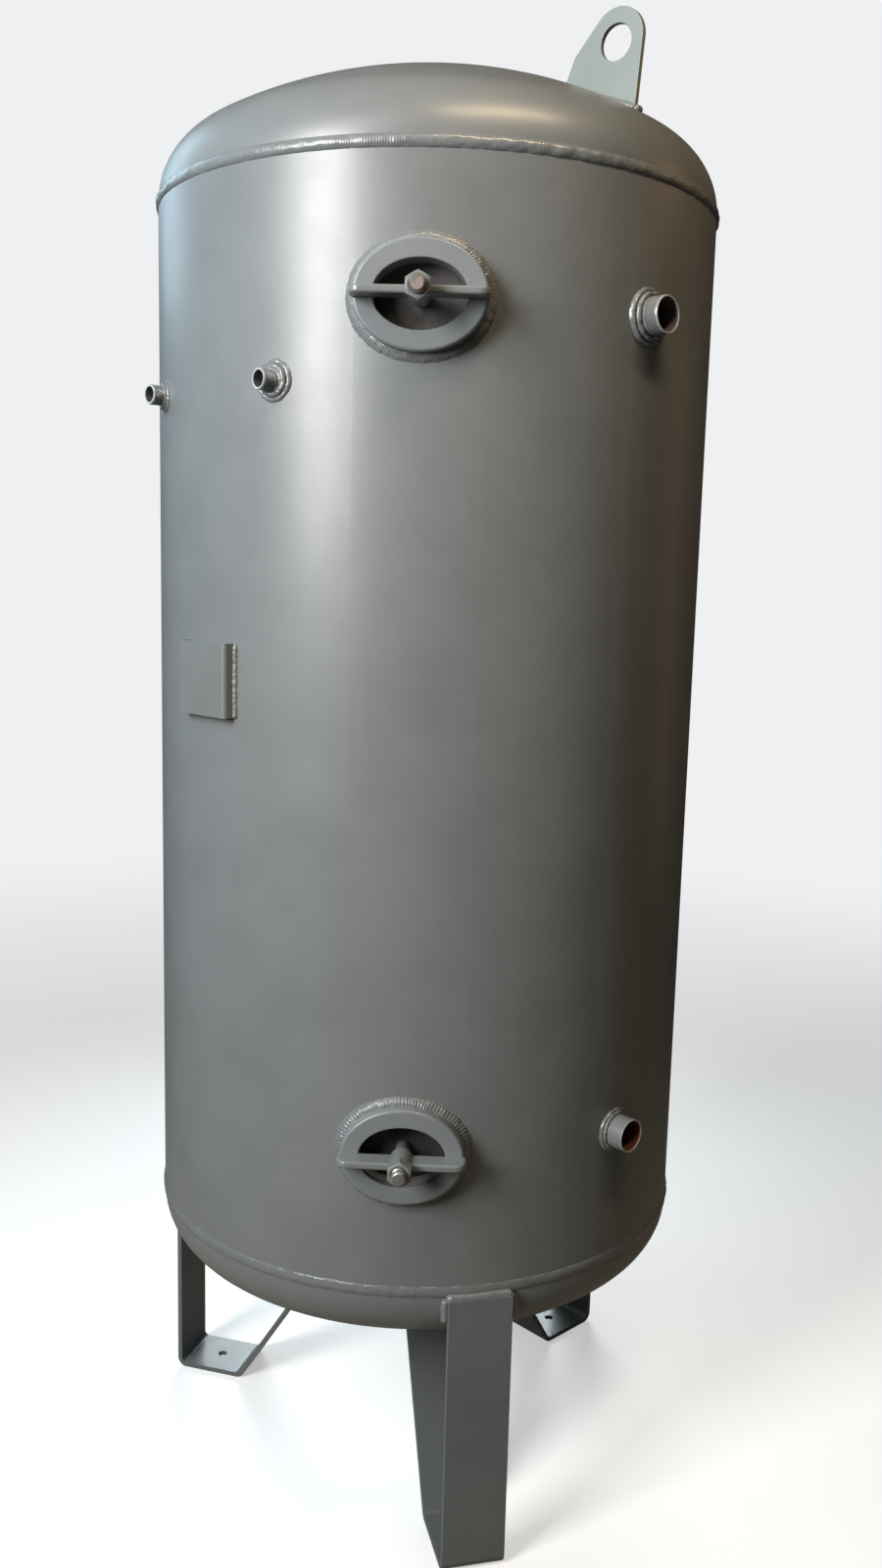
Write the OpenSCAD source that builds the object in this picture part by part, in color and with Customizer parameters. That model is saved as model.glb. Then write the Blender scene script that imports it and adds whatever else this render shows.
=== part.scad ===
// Vertical air receiver tank: a rolled shell with two torispherical heads, three bent flat-bar
// legs, two oval handholes closed from the inside, four pipe nipples, a drain socket, two
// lifting lugs and a plate bracket. The origin is on the floor, under the vessel's axis.
// Angles round the vessel are counted from the handholes (0), positive to the right.

/* [Vessel] */
// Outside diameter of the shell and the heads
vessel_d = 800; // [760:5:900]
// Length of the shell between its two seams
shell_length = 1450; // [1300:10:1800]
// Wall of the shell and the heads
wall = 5; // [4:0.5:6]
// Straight flange of the top head
top_flange = 2; // [1:1:20]
// Crown radius of the top head
top_crown_r = 700; // [600:10:800]
// Knuckle radius of the top head
top_knuckle_r = 100; // [80:5:120]
// Straight flange of the bottom head
bottom_flange = 8; // [6:1:20]
// Crown radius of the bottom head
bottom_crown_r = 800; // [700:10:800]
// Knuckle radius of the bottom head
bottom_knuckle_r = 80; // [80:5:120]
// Height of the bottom seam above the floor
seam_height = 414; // [400:2:500]
// Width of the girth welds
seam_width = 16; // [10:1:20]
// Height of the top girth weld above the shell
top_seam_rise = 4.5; // [2:0.5:6]
// Height of the bottom girth weld above the shell
bottom_seam_rise = 3; // [1:0.5:4]

/* [Legs] */
// Angle of the front leg
front_leg_angle = 15.6; // [5:0.2:40]
// Width of the leg bar
leg_width = 90; // [70:1:110]
// Thickness of the leg bar
leg_thickness = 8; // [6:1:10]
// Length of the foot along the floor
foot_length = 115; // [95:1:130]
// Distance from the axis to the brace's upper end
brace_reach = 124; // [100:2:150]
// Inside radius of the bends in the leg bar
leg_bend_r = 8; // [5:1:12]
// Hole for the anchor bolt in each foot
anchor_hole_d = 14; // [10:1:18]
// Radius of the circle through the anchor holes
anchor_circle_r = 345; // [340:1:350]

/* [Handholes] */
// Height of the upper handhole's middle
upper_handhole_z = 1688; // [1650:2:1720]
// Height of the lower handhole's middle
lower_handhole_z = 612; // [590:2:680]
// Width of the oval opening
opening_w = 114; // [100:1:120]
// Height of the oval opening
opening_h = 82; // [80:1:90]
// Radius of the oval's two ends
opening_end_r = 35; // [32:1:38]
// Width of the ring round the opening
ring_w = 24.5; // [18:0.5:26]
// How far the ring's face stands out from the shell
ring_rise = 20; // [16:1:26]
// Depth of the ring from face to back
ring_depth = 32; // [28:1:36]
// How far the cover laps over the opening all round
cover_lap = 12; // [8:1:14]
// Thickness of the cover
cover_t = 10; // [8:1:14]
// Thickness of the gasket
gasket_t = 4; // [3:0.5:6]
// Diameter of the stud
stud_d = 20; // [16:1:22]
// Length of the stud in front of the nut
stud_end = 12; // [8:1:20]
// Length of the crossbar
crossbar_l = 168; // [140:1:170]
// Depth of the crossbar, from the ring outwards
crossbar_depth = 28; // [24:1:32]
// Thickness of the crossbar, upwards
crossbar_t = 10; // [8:1:14]
// Diameter of the boss in the middle of the crossbar
boss_d = 30; // [28:1:34]
// How far the boss stands out in front of the crossbar
boss_rise = 7; // [4:1:10]
// Width of the nut across its flats
nut_af = 30; // [27:1:32]
// Thickness of the nut
nut_t = 16; // [13:1:18]

/* [Nipples] */
// Outside diameter of the two large nipples
large_pipe_d = 48.3; // [42.4:0.1:60.3]
// Outside diameter of the two small nipples
small_pipe_d = 26.9; // [21.3:0.1:33.7]
// Angle of the outlet nipple
outlet_angle = 45; // [35:1:60]
// Height of the outlet nipple
outlet_z = 1691; // [1650:1:1720]
// Angle of the inlet nipple
inlet_angle = 46; // [35:1:60]
// Height of the inlet nipple
inlet_z = 603; // [570:1:650]
// Distance from the vessel's axis to the mouths of the large nipples
large_mouth = 431; // [426:1:450]
// Direction of the two small nipples, which are parallel
small_pair_angle = -44; // [-48:1:-42]
// Distance of the gauge nipple from the vessel's axis, sideways
gauge_offset = 116; // [110:1:145]
// Distance of the valve nipple from the vessel's axis, sideways to the other side
valve_offset = 137; // [110:1:145]
// Height of the two small nipples
small_pair_z = 1594; // [1560:2:1620]
// Distance from the vessel's middle to the mouth of the gauge nipple, along the nipple
gauge_mouth = 407; // [405:1:430]
// Distance from the vessel's middle to the mouth of the valve nipple, along the nipple
valve_mouth = 403; // [400:1:430]
// Outside diameter of the drain socket
drain_socket_d = 42; // [38:1:48]

/* [Lifting lugs] */
// Angle of the first lug; the second is opposite
lug_angle = 54; // [40:1:80]
// Thickness of the lug plates
lug_t = 8; // [6:1:12]
// Distance from the axis to the middle of the eye
lug_eye_reach = 293; // [284:1:300]
// Height of the eye's middle above the top seam
lug_eye_rise = 190; // [176:1:196]
// Diameter of the eye
lug_eye_d = 46; // [36:1:50]
// Radius of the plate's rounded top
lug_round_r = 39; // [36:1:42]

/* [Plate bracket] */
// Angle of the bracket
bracket_angle = -44; // [-55:1:-40]
// Height of the bracket's middle
bracket_z = 1218; // [1100:2:1400]
// Width of the bracket
bracket_w = 106; // [80:1:120]
// Height of the bracket
bracket_h = 98; // [80:1:120]
// How far the bracket's face stands out from the shell
bracket_rise = 14; // [12:1:20]
// Thickness of the bracket's sheet
bracket_t = 3; // [2:0.5:4]

/* [Hidden] */
$fn = 96;

vessel_r = vessel_d / 2;
// Flange length, crown radius and knuckle radius of each head
upper_shape = [top_flange, top_crown_r, top_knuckle_r];
lower_shape = [bottom_flange, bottom_crown_r, bottom_knuckle_r];
top_seam_z = seam_height + shell_length;
ring_face = vessel_r + ring_rise;
ring_back = ring_face - ring_depth;
cover_face = ring_back - gasket_t;
crossbar_front = ring_face + crossbar_depth;
boss_front = crossbar_front + boss_rise;
nut_front = boss_front + nut_t;
stud_tip = nut_front + stud_end;
bore_clearance = 0.1;
inner_end = vessel_r - 15;
pipe_inside = 16;
leg_top_z = seam_height - seam_width / 2 - 2;
// Inner and outer ends of a lug's foot on the dome
lug_inner_reach = lug_eye_reach - 79;
lug_outer_reach = lug_eye_reach + 32;
// Outside diameter, wall and thread diameter of each pipe
large_pipe = [large_pipe_d, 3.2, large_pipe_d - 0.5];
small_pipe = [small_pipe_d, 3.2, small_pipe_d - 0.5];
large_thread_l = 18;
gauge_thread_l = 10;
valve_thread_l = 12;
drain_socket_l = 32;
drain_bore_d = 30.3;
drain_rise = 23;
bracket_bend_r = 3;
stud_play = 0.5;
leg_angles = [front_leg_angle, front_leg_angle - 120, front_leg_angle + 120];
paint = "#6f7a7c";
bare_steel = "#a9a39b";
rubber = "#1c1d1e";
cover_grey = "#4a4845";

// ---------- Places ----------

// Turns children so that their z axis points straight out of the vessel, with y upwards
module outward(angle, z) {
    translate([0, 0, z]) rotate([0, 0, angle]) rotate([90, 0, 0]) children();
}

// Stands a flat outline of (distance from the axis, height) up as a plate
module radial_plate(angle, thickness) {
    rotate([0, 0, angle - 90]) rotate([90, 0, 0])
        linear_extrude(height = thickness, center = true) children();
}

// ---------- Outlines ----------

// Distance from the end of a head's flange to the centre of its crown, which is below it
function crown_drop(shape) = sqrt(pow(shape[1] - shape[2], 2) - pow(vessel_r - shape[2], 2));

// Half section of a filled head, from its seam upwards, grown outwards by extra
module head_outline(shape, extra) {
    flange = shape[0];
    knuckle_x = vessel_r - shape[2];
    centre_z = flange - crown_drop(shape);
    reach = 2 * vessel_d;
    union() {
        square([vessel_r + extra, flange]);
        intersection() {
            translate([0, centre_z]) circle(r = shape[1] + extra, $fn = 360);
            polygon([[0, 0], [knuckle_x, 0], [knuckle_x, flange],
                [knuckle_x * reach / crown_drop(shape), centre_z + reach], [0, centre_z + reach]]);
        }
        intersection() {
            translate([knuckle_x, flange]) circle(r = shape[2] + extra);
            translate([knuckle_x, 0]) square(vessel_d);
        }
    }
}

// Filled head with its seam at z = 0
module head_body(shape, extra) {
    rotate_extrude($fn = 180) head_outline(shape, extra);
}

// Places a head's children at the top seam or, upside down, at the bottom seam
module on_top() {
    translate([0, 0, top_seam_z]) children();
}

module on_bottom() {
    translate([0, 0, seam_height]) mirror([0, 0, 1]) children();
}

// Oval of two end arcs and two flat arcs, with half width a, half height b and end radius r
module oval(a, b, r) {
    flat_r = (pow(a - r, 2) + b * b - r * r) / (2 * (b - r));
    tangent_x = (a - r) * flat_r / (flat_r - r);
    union() {
        for (side = [-1, 1])
            translate([side * (a - r), 0]) circle(r = r);
        intersection() {
            translate([0, b - flat_r]) circle(r = flat_r, $fn = 180);
            translate([0, flat_r - b]) circle(r = flat_r, $fn = 180);
            square([2 * tangent_x, 2 * b + 1], center = true);
        }
    }
}

// The handhole's oval, grown outwards by extra
module opening_oval(extra) {
    oval(opening_w / 2 + extra, opening_h / 2 + extra, opening_end_r + extra);
}

// Functions that bend a strip round the corners of a path
function unit(v) = v / norm(v);
function normal(v) = [-unit(v)[1], unit(v)[0]];
function turned(v, a) = [v[0] * cos(a) - v[1] * sin(a), v[0] * sin(a) + v[1] * cos(a)];
function turn_angle(u, v) = atan2(u[0] * v[1] - u[1] * v[0], u[0] * v[0] + u[1] * v[1]);
function bend(p, q, r, offset, bend_r) =
    let (a = turn_angle(q - p, r - q), way = sign(a), n = normal(q - p), steps = 8)
    let (centre = q - unit(q - p) * bend_r * tan(abs(a) / 2) + n * bend_r * way)
    [for (k = [0 : steps]) centre + turned(n * (offset - bend_r * way), a * k / steps)];
function strip_side(path, offset, bend_r) =
    let (last = len(path) - 1)
    concat([path[0] + normal(path[1] - path[0]) * offset],
        [for (i = [1 : last - 1])
            each bend(path[i - 1], path[i], path[i + 1], offset, bend_r)],
        [path[last] + normal(path[last] - path[last - 1]) * offset]);
function reversed(list) = [for (i = [len(list) - 1 : -1 : 0]) list[i]];

// Section of a strip of thickness t bent along a path, with inside radius r at each bend
module bent_strip(path, t, r) {
    polygon(concat(strip_side(path, t / 2, r + t / 2),
        reversed(strip_side(path, -t / 2, r + t / 2))));
}

// ---------- Pressure vessel ----------

module shell() {
    color(paint) difference() {
        translate([0, 0, seam_height]) cylinder(h = shell_length, r = vessel_r, $fn = 180);
        translate([0, 0, seam_height - 1])
            cylinder(h = shell_length + 2, r = vessel_r - wall, $fn = 180);
        for (z = [upper_handhole_z, lower_handhole_z])
            outward(0, z) translate([0, 0, inner_end - 20])
                linear_extrude(height = 100) opening_oval(ring_w);
        pipe_hole(outlet_angle, outlet_z, large_pipe_d, 0);
        pipe_hole(inlet_angle, inlet_z, large_pipe_d, 0);
        for (offset = [-valve_offset, gauge_offset])
            pipe_hole(small_pair_angle, small_pair_z, small_pipe_d, offset);
    }
}

// Distance from the middle to the inner end of a pipe that is set off sideways by offset
function pipe_root(offset) = sqrt(pow(vessel_r, 2) - pow(offset, 2)) - pipe_inside;

// Hole through the shell for a pipe
module pipe_hole(angle, z, d, offset) {
    outward(angle, z) translate([offset, 0, pipe_root(offset)]) cylinder(h = 4 * pipe_inside, d = d);
}

// Filled shell, grown outwards by extra, for cutting what is welded to it
module shell_core(extra) {
    translate([0, 0, seam_height]) cylinder(h = shell_length, r = vessel_r + extra, $fn = 360);
}

// Dished head of even wall, with its seam at z = 0
module head_wall(shape) {
    rotate_extrude($fn = 180) difference() {
        head_outline(shape, 0);
        head_outline(shape, -wall);
        translate([0, -1]) square([vessel_r - wall, 2]);
    }
}

module top_head() {
    color(paint) on_top() head_wall(upper_shape);
}

module bottom_head() {
    color(paint) difference() {
        on_bottom() head_wall(lower_shape);
        cylinder(h = seam_height, d = drain_socket_d);
    }
}

// Weld bead round the vessel, an arc in section
module girth_bead(z, rise) {
    bead_r = (seam_width * seam_width / 4 + rise * rise) / (2 * rise);
    translate([0, 0, z]) rotate_extrude($fn = 180) difference() {
        translate([vessel_r + rise - bead_r, 0]) circle(r = bead_r);
        translate([vessel_r - 4 * seam_width, -2 * seam_width])
            square([4 * seam_width, 4 * seam_width]);
    }
}

module top_seam_weld() {
    color(paint) girth_bead(top_seam_z, top_seam_rise);
}

module bottom_seam_weld() {
    color(paint) girth_bead(seam_height, bottom_seam_rise);
}

// Lengthwise weld of the rolled shell, at the back
module long_seam_weld() {
    seam_rise = 2;
    color(paint) difference() {
        outward(180, 0) translate([-seam_width / 2, seam_height + seam_width / 2, inner_end])
            cube([seam_width, shell_length - seam_width, vessel_r + seam_rise - inner_end]);
        shell_core(0);
    }
}

// ---------- Legs ----------

// Height of a head's crown above its seam at a distance from the axis
function crown_height(shape, x) = shape[0] + sqrt(pow(shape[1], 2) - x * x) - crown_drop(shape);

// Filled bottom head and shell, grown outwards by extra, for cutting what is welded to them
module vessel_bottom(extra) {
    on_bottom() head_body(lower_shape, extra);
    shell_core(extra);
}

// One flat bar bent to a post, a foot and a brace
module leg_bar(angle) {
    half_t = leg_thickness / 2;
    post_x = vessel_r + half_t;
    foot_end = vessel_r + leg_thickness - foot_length;
    brace_top = [brace_reach, seam_height - crown_height(lower_shape, brace_reach) + 12];
    radial_plate(angle, leg_width)
        bent_strip([[post_x, leg_top_z], [post_x, half_t], [foot_end, half_t], brace_top],
            leg_thickness, leg_bend_r);
}

module leg(angle) {
    color(paint) difference() {
        leg_bar(angle);
        vessel_bottom(0);
        rotate([0, 0, angle]) translate([0, -anchor_circle_r, -1])
            cylinder(h = leg_thickness + 2, d = anchor_hole_d);
    }
}

// Beads over the post's top, down its two sides, and along both faces of the brace's end
module leg_weld(angle) {
    bead = 7;
    side_l = 34;
    post_gap = 12;
    brace_band = 13;
    color(paint) difference() {
        union() {
            rotate([0, 0, angle])
                translate([-leg_width / 2 - bead, -vessel_r - bead, leg_top_z - side_l])
                    cube([leg_width + 2 * bead, bead + post_gap, side_l + bead]);
            intersection() {
                on_bottom() head_body(lower_shape, bead);
                radial_plate(angle, leg_width)
                    translate([brace_reach - brace_band, 0])
                        square([2 * brace_band, seam_height]);
            }
        }
        vessel_bottom(0);
        leg_bar(angle);
        radial_plate(angle, leg_width)
            translate([vessel_r - post_gap, 0]) square([3 * post_gap, leg_top_z]);
    }
}

module front_leg() { leg(leg_angles[0]); }
module left_leg() { leg(leg_angles[1]); }
module rear_leg() { leg(leg_angles[2]); }
module front_leg_weld() { leg_weld(leg_angles[0]); }
module left_leg_weld() { leg_weld(leg_angles[1]); }
module rear_leg_weld() { leg_weld(leg_angles[2]); }

// ---------- Lifting lugs ----------

// Height of the top head's surface at a distance from the axis
function dome_z(x) = top_seam_z + crown_height(upper_shape, x);

// Point where a line from p touches a circle of radius r round c
function touch_point(p, c, r) = c + r * turned(unit(p - c), -acos(r / norm(p - c)));

// Plate standing on the dome, round above its eye, upright outside and sloped inside
module lug_plate(angle) {
    eye = [lug_eye_reach, top_seam_z + lug_eye_rise];
    round_middle = eye + [1, 4];
    knee = eye - [63, 7];
    root_depth = 4;
    inner_root = [lug_inner_reach, dome_z(lug_inner_reach) - root_depth];
    outer_root = [lug_outer_reach, dome_z(lug_outer_reach) - root_depth];
    radial_plate(angle, lug_t) difference() {
        union() {
            translate(round_middle) circle(r = lug_round_r);
            polygon([touch_point(knee, round_middle, lug_round_r), knee, inner_root, outer_root,
                round_middle + [lug_round_r, 0]]);
        }
        translate(eye) circle(d = lug_eye_d);
    }
}

module lug(angle) {
    color(paint) difference() {
        lug_plate(angle);
        on_top() head_body(upper_shape, 0);
    }
}

// Bead round the foot of a lug
module lug_weld(angle) {
    bead = 6;
    color(paint) difference() {
        intersection() {
            on_top() head_body(upper_shape, bead);
            radial_plate(angle, lug_t + 2 * bead)
                translate([lug_inner_reach - bead, top_seam_z])
                    square([lug_outer_reach - lug_inner_reach + 2 * bead, vessel_r]);
        }
        on_top() head_body(upper_shape, 0);
        lug_plate(angle);
    }
}

module front_lug() { lug(lug_angle); }
module rear_lug() { lug(lug_angle + 180); }
module front_lug_weld() { lug_weld(lug_angle); }
module rear_lug_weld() { lug_weld(lug_angle + 180); }

// ---------- Nipples and drain ----------

// Pipe stub set into the shell, parallel to a radius and set off from it sideways, with a
// slightly thinner threaded end
module nipple(angle, z, pipe, thread_l, mouth, offset) {
    pipe_d = pipe[0];
    pipe_wall = pipe[1];
    thread_d = pipe[2];
    root = pipe_root(offset);
    color(paint) outward(angle, z) translate([offset, 0, root]) difference() {
        union() {
            cylinder(h = mouth - root, d = thread_d);
            cylinder(h = mouth - root - thread_l, d = pipe_d);
        }
        translate([0, 0, -1]) cylinder(h = mouth - root + 2, d = pipe_d - 2 * pipe_wall);
    }
}

// Fillet weld round a pipe stub, square to the shell where the stub enters it
module pipe_weld(angle, z, d, rise, spread, offset) {
    depth = 5;
    color(paint) difference() {
        outward(angle + asin(offset / vessel_r), z) translate([0, 0, vessel_r - depth])
            cylinder(h = rise + depth, r1 = d / 2 + spread * (1 + depth / rise), r2 = d / 2);
        shell_core(0);
        pipe_hole(angle, z, d, offset);
    }
}

module outlet_nipple() {
    nipple(outlet_angle, outlet_z, large_pipe, large_thread_l, large_mouth, 0);
}
module inlet_nipple() {
    nipple(inlet_angle, inlet_z, large_pipe, large_thread_l, large_mouth, 0);
}
module gauge_nipple() {
    nipple(small_pair_angle, small_pair_z, small_pipe, gauge_thread_l, gauge_mouth,
        gauge_offset);
}
module valve_nipple() {
    nipple(small_pair_angle, small_pair_z, small_pipe, valve_thread_l, valve_mouth,
        -valve_offset);
}
module outlet_weld() { pipe_weld(outlet_angle, outlet_z, large_pipe_d, 9, 12, 0); }
module inlet_weld() { pipe_weld(inlet_angle, inlet_z, large_pipe_d, 7, 7, 0); }
module gauge_weld() {
    pipe_weld(small_pair_angle, small_pair_z, small_pipe_d, 7, 13, gauge_offset);
}
module valve_weld() {
    pipe_weld(small_pair_angle, small_pair_z, small_pipe_d, 8, 8, -valve_offset);
}

head_bottom_z = seam_height - crown_height(lower_shape, 0);

// Threaded half socket through the lowest point of the bottom head
module drain_socket() {
    color(paint) translate([0, 0, head_bottom_z - drain_rise]) difference() {
        cylinder(h = drain_socket_l, d = drain_socket_d);
        translate([0, 0, -1]) cylinder(h = drain_socket_l + 2, d = drain_bore_d);
    }
}

module drain_weld() {
    fillet = 6;
    weld_gap = 0.05;
    color(paint) rotate_extrude() difference() {
        translate([drain_socket_d / 2 + weld_gap, head_bottom_z])
            polygon([[0, -fillet], [2 * fillet, fillet], [0, fillet]]);
        translate([0, seam_height]) mirror([0, 1]) head_outline(lower_shape, weld_gap);
    }
}

// ---------- Plate bracket ----------

// Bent sheet that holds a data plate clear of the shell, open at its top and bottom
module plate_bracket() {
    edge = bracket_w / 2 - bracket_t / 2;
    face = vessel_r + bracket_rise - bracket_t / 2;
    root = vessel_r - 10;
    color(paint) difference() {
        outward(bracket_angle, bracket_z) rotate([90, 0, 0])
            linear_extrude(height = bracket_h, center = true)
                bent_strip([[-edge, root], [-edge, face], [edge, face], [edge, root]],
                    bracket_t, bracket_bend_r);
        shell_core(0);
    }
}

module plate_bracket_weld() {
    bead = 6;
    color(paint) difference() {
        outward(bracket_angle, bracket_z)
            for (side = [-1, 1])
                translate([side * (bracket_w + bead) / 2, 0, vessel_r - bead / 3])
                    cube([bead, bracket_h, 2 * bead], center = true);
        shell_core(0);
    }
}

// ---------- Handholes ----------

// Extrudes an outline outwards between two distances from the vessel's axis
module outward_prism(z, from, to) {
    outward(0, z) translate([0, 0, from]) linear_extrude(height = to - from) children();
}

// Oval ring set into the shell; its back is the gasket's seat
module handhole_ring(z) {
    color(paint) difference() {
        outward_prism(z, ring_back, ring_face) opening_oval(ring_w);
        outward_prism(z, ring_back - 1, ring_face + 1) opening_oval(0);
    }
}

module handhole_ring_weld(z) {
    bead = 11;
    bead_rise = 6;
    color(paint) difference() {
        intersection() {
            outward_prism(z, inner_end, ring_face) opening_oval(ring_w + bead);
            shell_core(bead_rise);
        }
        shell_core(0);
        outward_prism(z, inner_end - 1, ring_face + 1) opening_oval(ring_w);
    }
}

module handhole_cover(z) {
    color(cover_grey) outward_prism(z, cover_face - cover_t, cover_face) opening_oval(cover_lap);
}

module handhole_gasket(z) {
    bore_gap = 2;
    color(rubber) difference() {
        outward_prism(z, cover_face, ring_back) opening_oval(cover_lap);
        outward_prism(z, cover_face - 1, ring_back + 1) opening_oval(bore_gap);
    }
}

// Stud welded to the middle of the cover
module handhole_stud(z) {
    chamfer = 1.5;
    color(bare_steel) outward(0, z) {
        translate([0, 0, cover_face]) cylinder(h = stud_tip - cover_face - chamfer, d = stud_d);
        translate([0, 0, stud_tip - chamfer])
            cylinder(h = chamfer, d1 = stud_d, d2 = stud_d - 2 * chamfer);
    }
}

// Flat bar on edge across the ring, with a boss that the stud passes through
module handhole_crossbar(z) {
    corner_r = crossbar_depth / 2;
    color(paint) difference() {
        union() {
            outward(0, z) rotate([90, 0, 0])
                linear_extrude(height = crossbar_t, center = true)
                    translate([0, ring_face]) union() {
                        for (side = [-1, 1])
                            translate([side * (crossbar_l / 2 - corner_r), crossbar_depth - corner_r])
                                circle(r = corner_r);
                        translate([-crossbar_l / 2, 0])
                            square([crossbar_l, crossbar_depth - corner_r]);
                        translate([corner_r - crossbar_l / 2, 0])
                            square([crossbar_l - 2 * corner_r, crossbar_depth]);
                    }
            outward(0, z) translate([0, 0, ring_face])
                cylinder(h = boss_front - ring_face, d = boss_d);
        }
        outward(0, z) translate([0, 0, ring_face - 1])
            cylinder(h = boss_front - ring_face + 2, d = stud_d + 2 * stud_play);
    }
}

module handhole_nut(z) {
    color(paint) outward(0, z) translate([0, 0, boss_front]) difference() {
        rotate([0, 0, 30]) cylinder(h = nut_t, d = nut_af / cos(30), $fn = 6);
        translate([0, 0, -1]) cylinder(h = nut_t + 2, d = stud_d + bore_clearance);
    }
}

module upper_ring() { handhole_ring(upper_handhole_z); }
module upper_ring_weld() { handhole_ring_weld(upper_handhole_z); }
module upper_cover() { handhole_cover(upper_handhole_z); }
module upper_gasket() { handhole_gasket(upper_handhole_z); }
module upper_stud() { handhole_stud(upper_handhole_z); }
module upper_crossbar() { handhole_crossbar(upper_handhole_z); }
module upper_nut() { handhole_nut(upper_handhole_z); }
module lower_ring() { handhole_ring(lower_handhole_z); }
module lower_ring_weld() { handhole_ring_weld(lower_handhole_z); }
module lower_cover() { handhole_cover(lower_handhole_z); }
module lower_gasket() { handhole_gasket(lower_handhole_z); }
module lower_stud() { handhole_stud(lower_handhole_z); }
module lower_crossbar() { handhole_crossbar(lower_handhole_z); }
module lower_nut() { handhole_nut(lower_handhole_z); }

shell();
top_head();
bottom_head();
top_seam_weld();
bottom_seam_weld();
long_seam_weld();
front_leg();
left_leg();
rear_leg();
front_leg_weld();
left_leg_weld();
rear_leg_weld();
front_lug();
rear_lug();
front_lug_weld();
rear_lug_weld();
outlet_nipple();
inlet_nipple();
gauge_nipple();
valve_nipple();
drain_socket();
outlet_weld();
inlet_weld();
gauge_weld();
valve_weld();
drain_weld();
plate_bracket();
plate_bracket_weld();
upper_ring();
upper_ring_weld();
upper_cover();
upper_gasket();
upper_stud();
upper_crossbar();
upper_nut();
lower_ring();
lower_ring_weld();
lower_cover();
lower_gasket();
lower_stud();
lower_crossbar();
lower_nut();
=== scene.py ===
"""The finished look of a vertical air receiver tank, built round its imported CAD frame.

The shell, the two heads, the handhole covers and their gaskets keep their CAD meshes and get their
finishes here. Welds, legs, lugs, pipes, the bracket and the clamps are modelled afresh. Angles
round the vessel are counted from the handholes, which face -Y, and are positive to the right.
"""
import logging
import math
from contextlib import contextmanager
from dataclasses import dataclass
from enum import Enum
from typing import Callable, Iterator, Sequence

import bmesh
import bpy
from mathutils import Matrix, Vector


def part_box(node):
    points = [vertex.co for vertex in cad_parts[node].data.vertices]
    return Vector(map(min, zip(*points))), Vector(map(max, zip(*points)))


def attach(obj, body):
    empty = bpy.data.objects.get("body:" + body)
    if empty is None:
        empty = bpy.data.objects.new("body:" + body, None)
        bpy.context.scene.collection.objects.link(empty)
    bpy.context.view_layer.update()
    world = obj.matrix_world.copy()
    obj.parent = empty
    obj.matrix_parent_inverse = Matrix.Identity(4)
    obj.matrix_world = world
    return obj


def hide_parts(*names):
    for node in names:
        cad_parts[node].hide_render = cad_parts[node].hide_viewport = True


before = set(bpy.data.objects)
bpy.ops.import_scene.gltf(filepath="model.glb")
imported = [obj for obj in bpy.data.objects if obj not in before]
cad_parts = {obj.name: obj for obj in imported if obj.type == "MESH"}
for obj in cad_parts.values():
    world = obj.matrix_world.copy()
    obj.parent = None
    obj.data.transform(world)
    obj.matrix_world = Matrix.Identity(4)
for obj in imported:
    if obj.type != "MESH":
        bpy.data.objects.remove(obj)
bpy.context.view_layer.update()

log = logging.getLogger("air_receiver")
Point = tuple[float, float]
Place = tuple[float, float, float]
Colour = tuple[float, float, float]
Cover = tuple[float, float, float, float]
Piece = bpy.types.Object
MM = 0.001
FULL_TURN = 2 * math.pi
QUARTER_TURN = math.pi / 2
MERGE_DISTANCE = 0.002 * MM
SHARP_EDGE = 38.0
BEAD_EDGE = 60.0
FLAT_FACED_BELOW = 50.0
TANK = "tank"
ARCH_STEPS = 8
# For each run of a pipe's weld, its middle and half width as shares of the weld's spread, and its
# foot and crest as shares of the weld's rise.
COLLAR_RUNS = ((0.7, 0.36, -1.0, 0.5), (0.24, 0.3, 0.42, 1.0))


class Slot(Enum):
    """Material slots of the record, one for each kind of piece made here."""

    BRACKET = "bracket_paint"
    FITTING = "fitting_paint"
    NIPPLE = "nipple_paint"
    WELD = "weld_paint"
    BARE = "bare_steel"


class Part(Enum):
    """Kinds of mesh element that can be picked in edit mode."""

    VERT = "verts"
    EDGE = "edges"


class Ripple(Enum):
    """What the ripples of a weld follow, with its mean radius in metres."""

    NONE = 0.0
    ROUND_VESSEL = 0.4
    ROUND_HANDHOLE = 0.075


# ---------- Shaders ----------


class Sock:
    """A shader socket that adds Math nodes when it is used in arithmetic."""

    def __init__(self, shade: "Shade", socket: bpy.types.NodeSocket) -> None:
        """Keep the socket and the shade it belongs to."""
        self.shade = shade
        self.socket = socket

    def maths(self, operation: str, *values: object) -> "Sock":
        """Add one Math node.

        Args:
            operation: The node's operation.
            values: Sockets or numbers for its inputs, in order.

        Returns:
            The node's result.
        """
        return self.shade.add(
            "ShaderNodeMath", {"operation": operation}, dict(enumerate(values))
        )

    def __add__(self, other: object) -> "Sock":
        """Sum."""
        return self.maths("ADD", self, other)

    __radd__ = __add__

    def __mul__(self, other: object) -> "Sock":
        """Product."""
        return self.maths("MULTIPLY", self, other)

    __rmul__ = __mul__

    def __sub__(self, other: object) -> "Sock":
        """Difference."""
        return self.maths("SUBTRACT", self, other)

    def __rsub__(self, other: object) -> "Sock":
        """Difference the other way round."""
        return self.maths("SUBTRACT", other, self)

    def __gt__(self, other: object) -> "Sock":
        """One where this is the greater, else nought."""
        return self.maths("GREATER_THAN", self, other)

    def sine(self) -> "Sock":
        """Sine of the value."""
        return self.maths("SINE", self)

    def angle_from(self, other: "Sock") -> "Sock":
        """Angle of the point (other, self)."""
        return self.maths("ARCTAN2", self, other)


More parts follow.
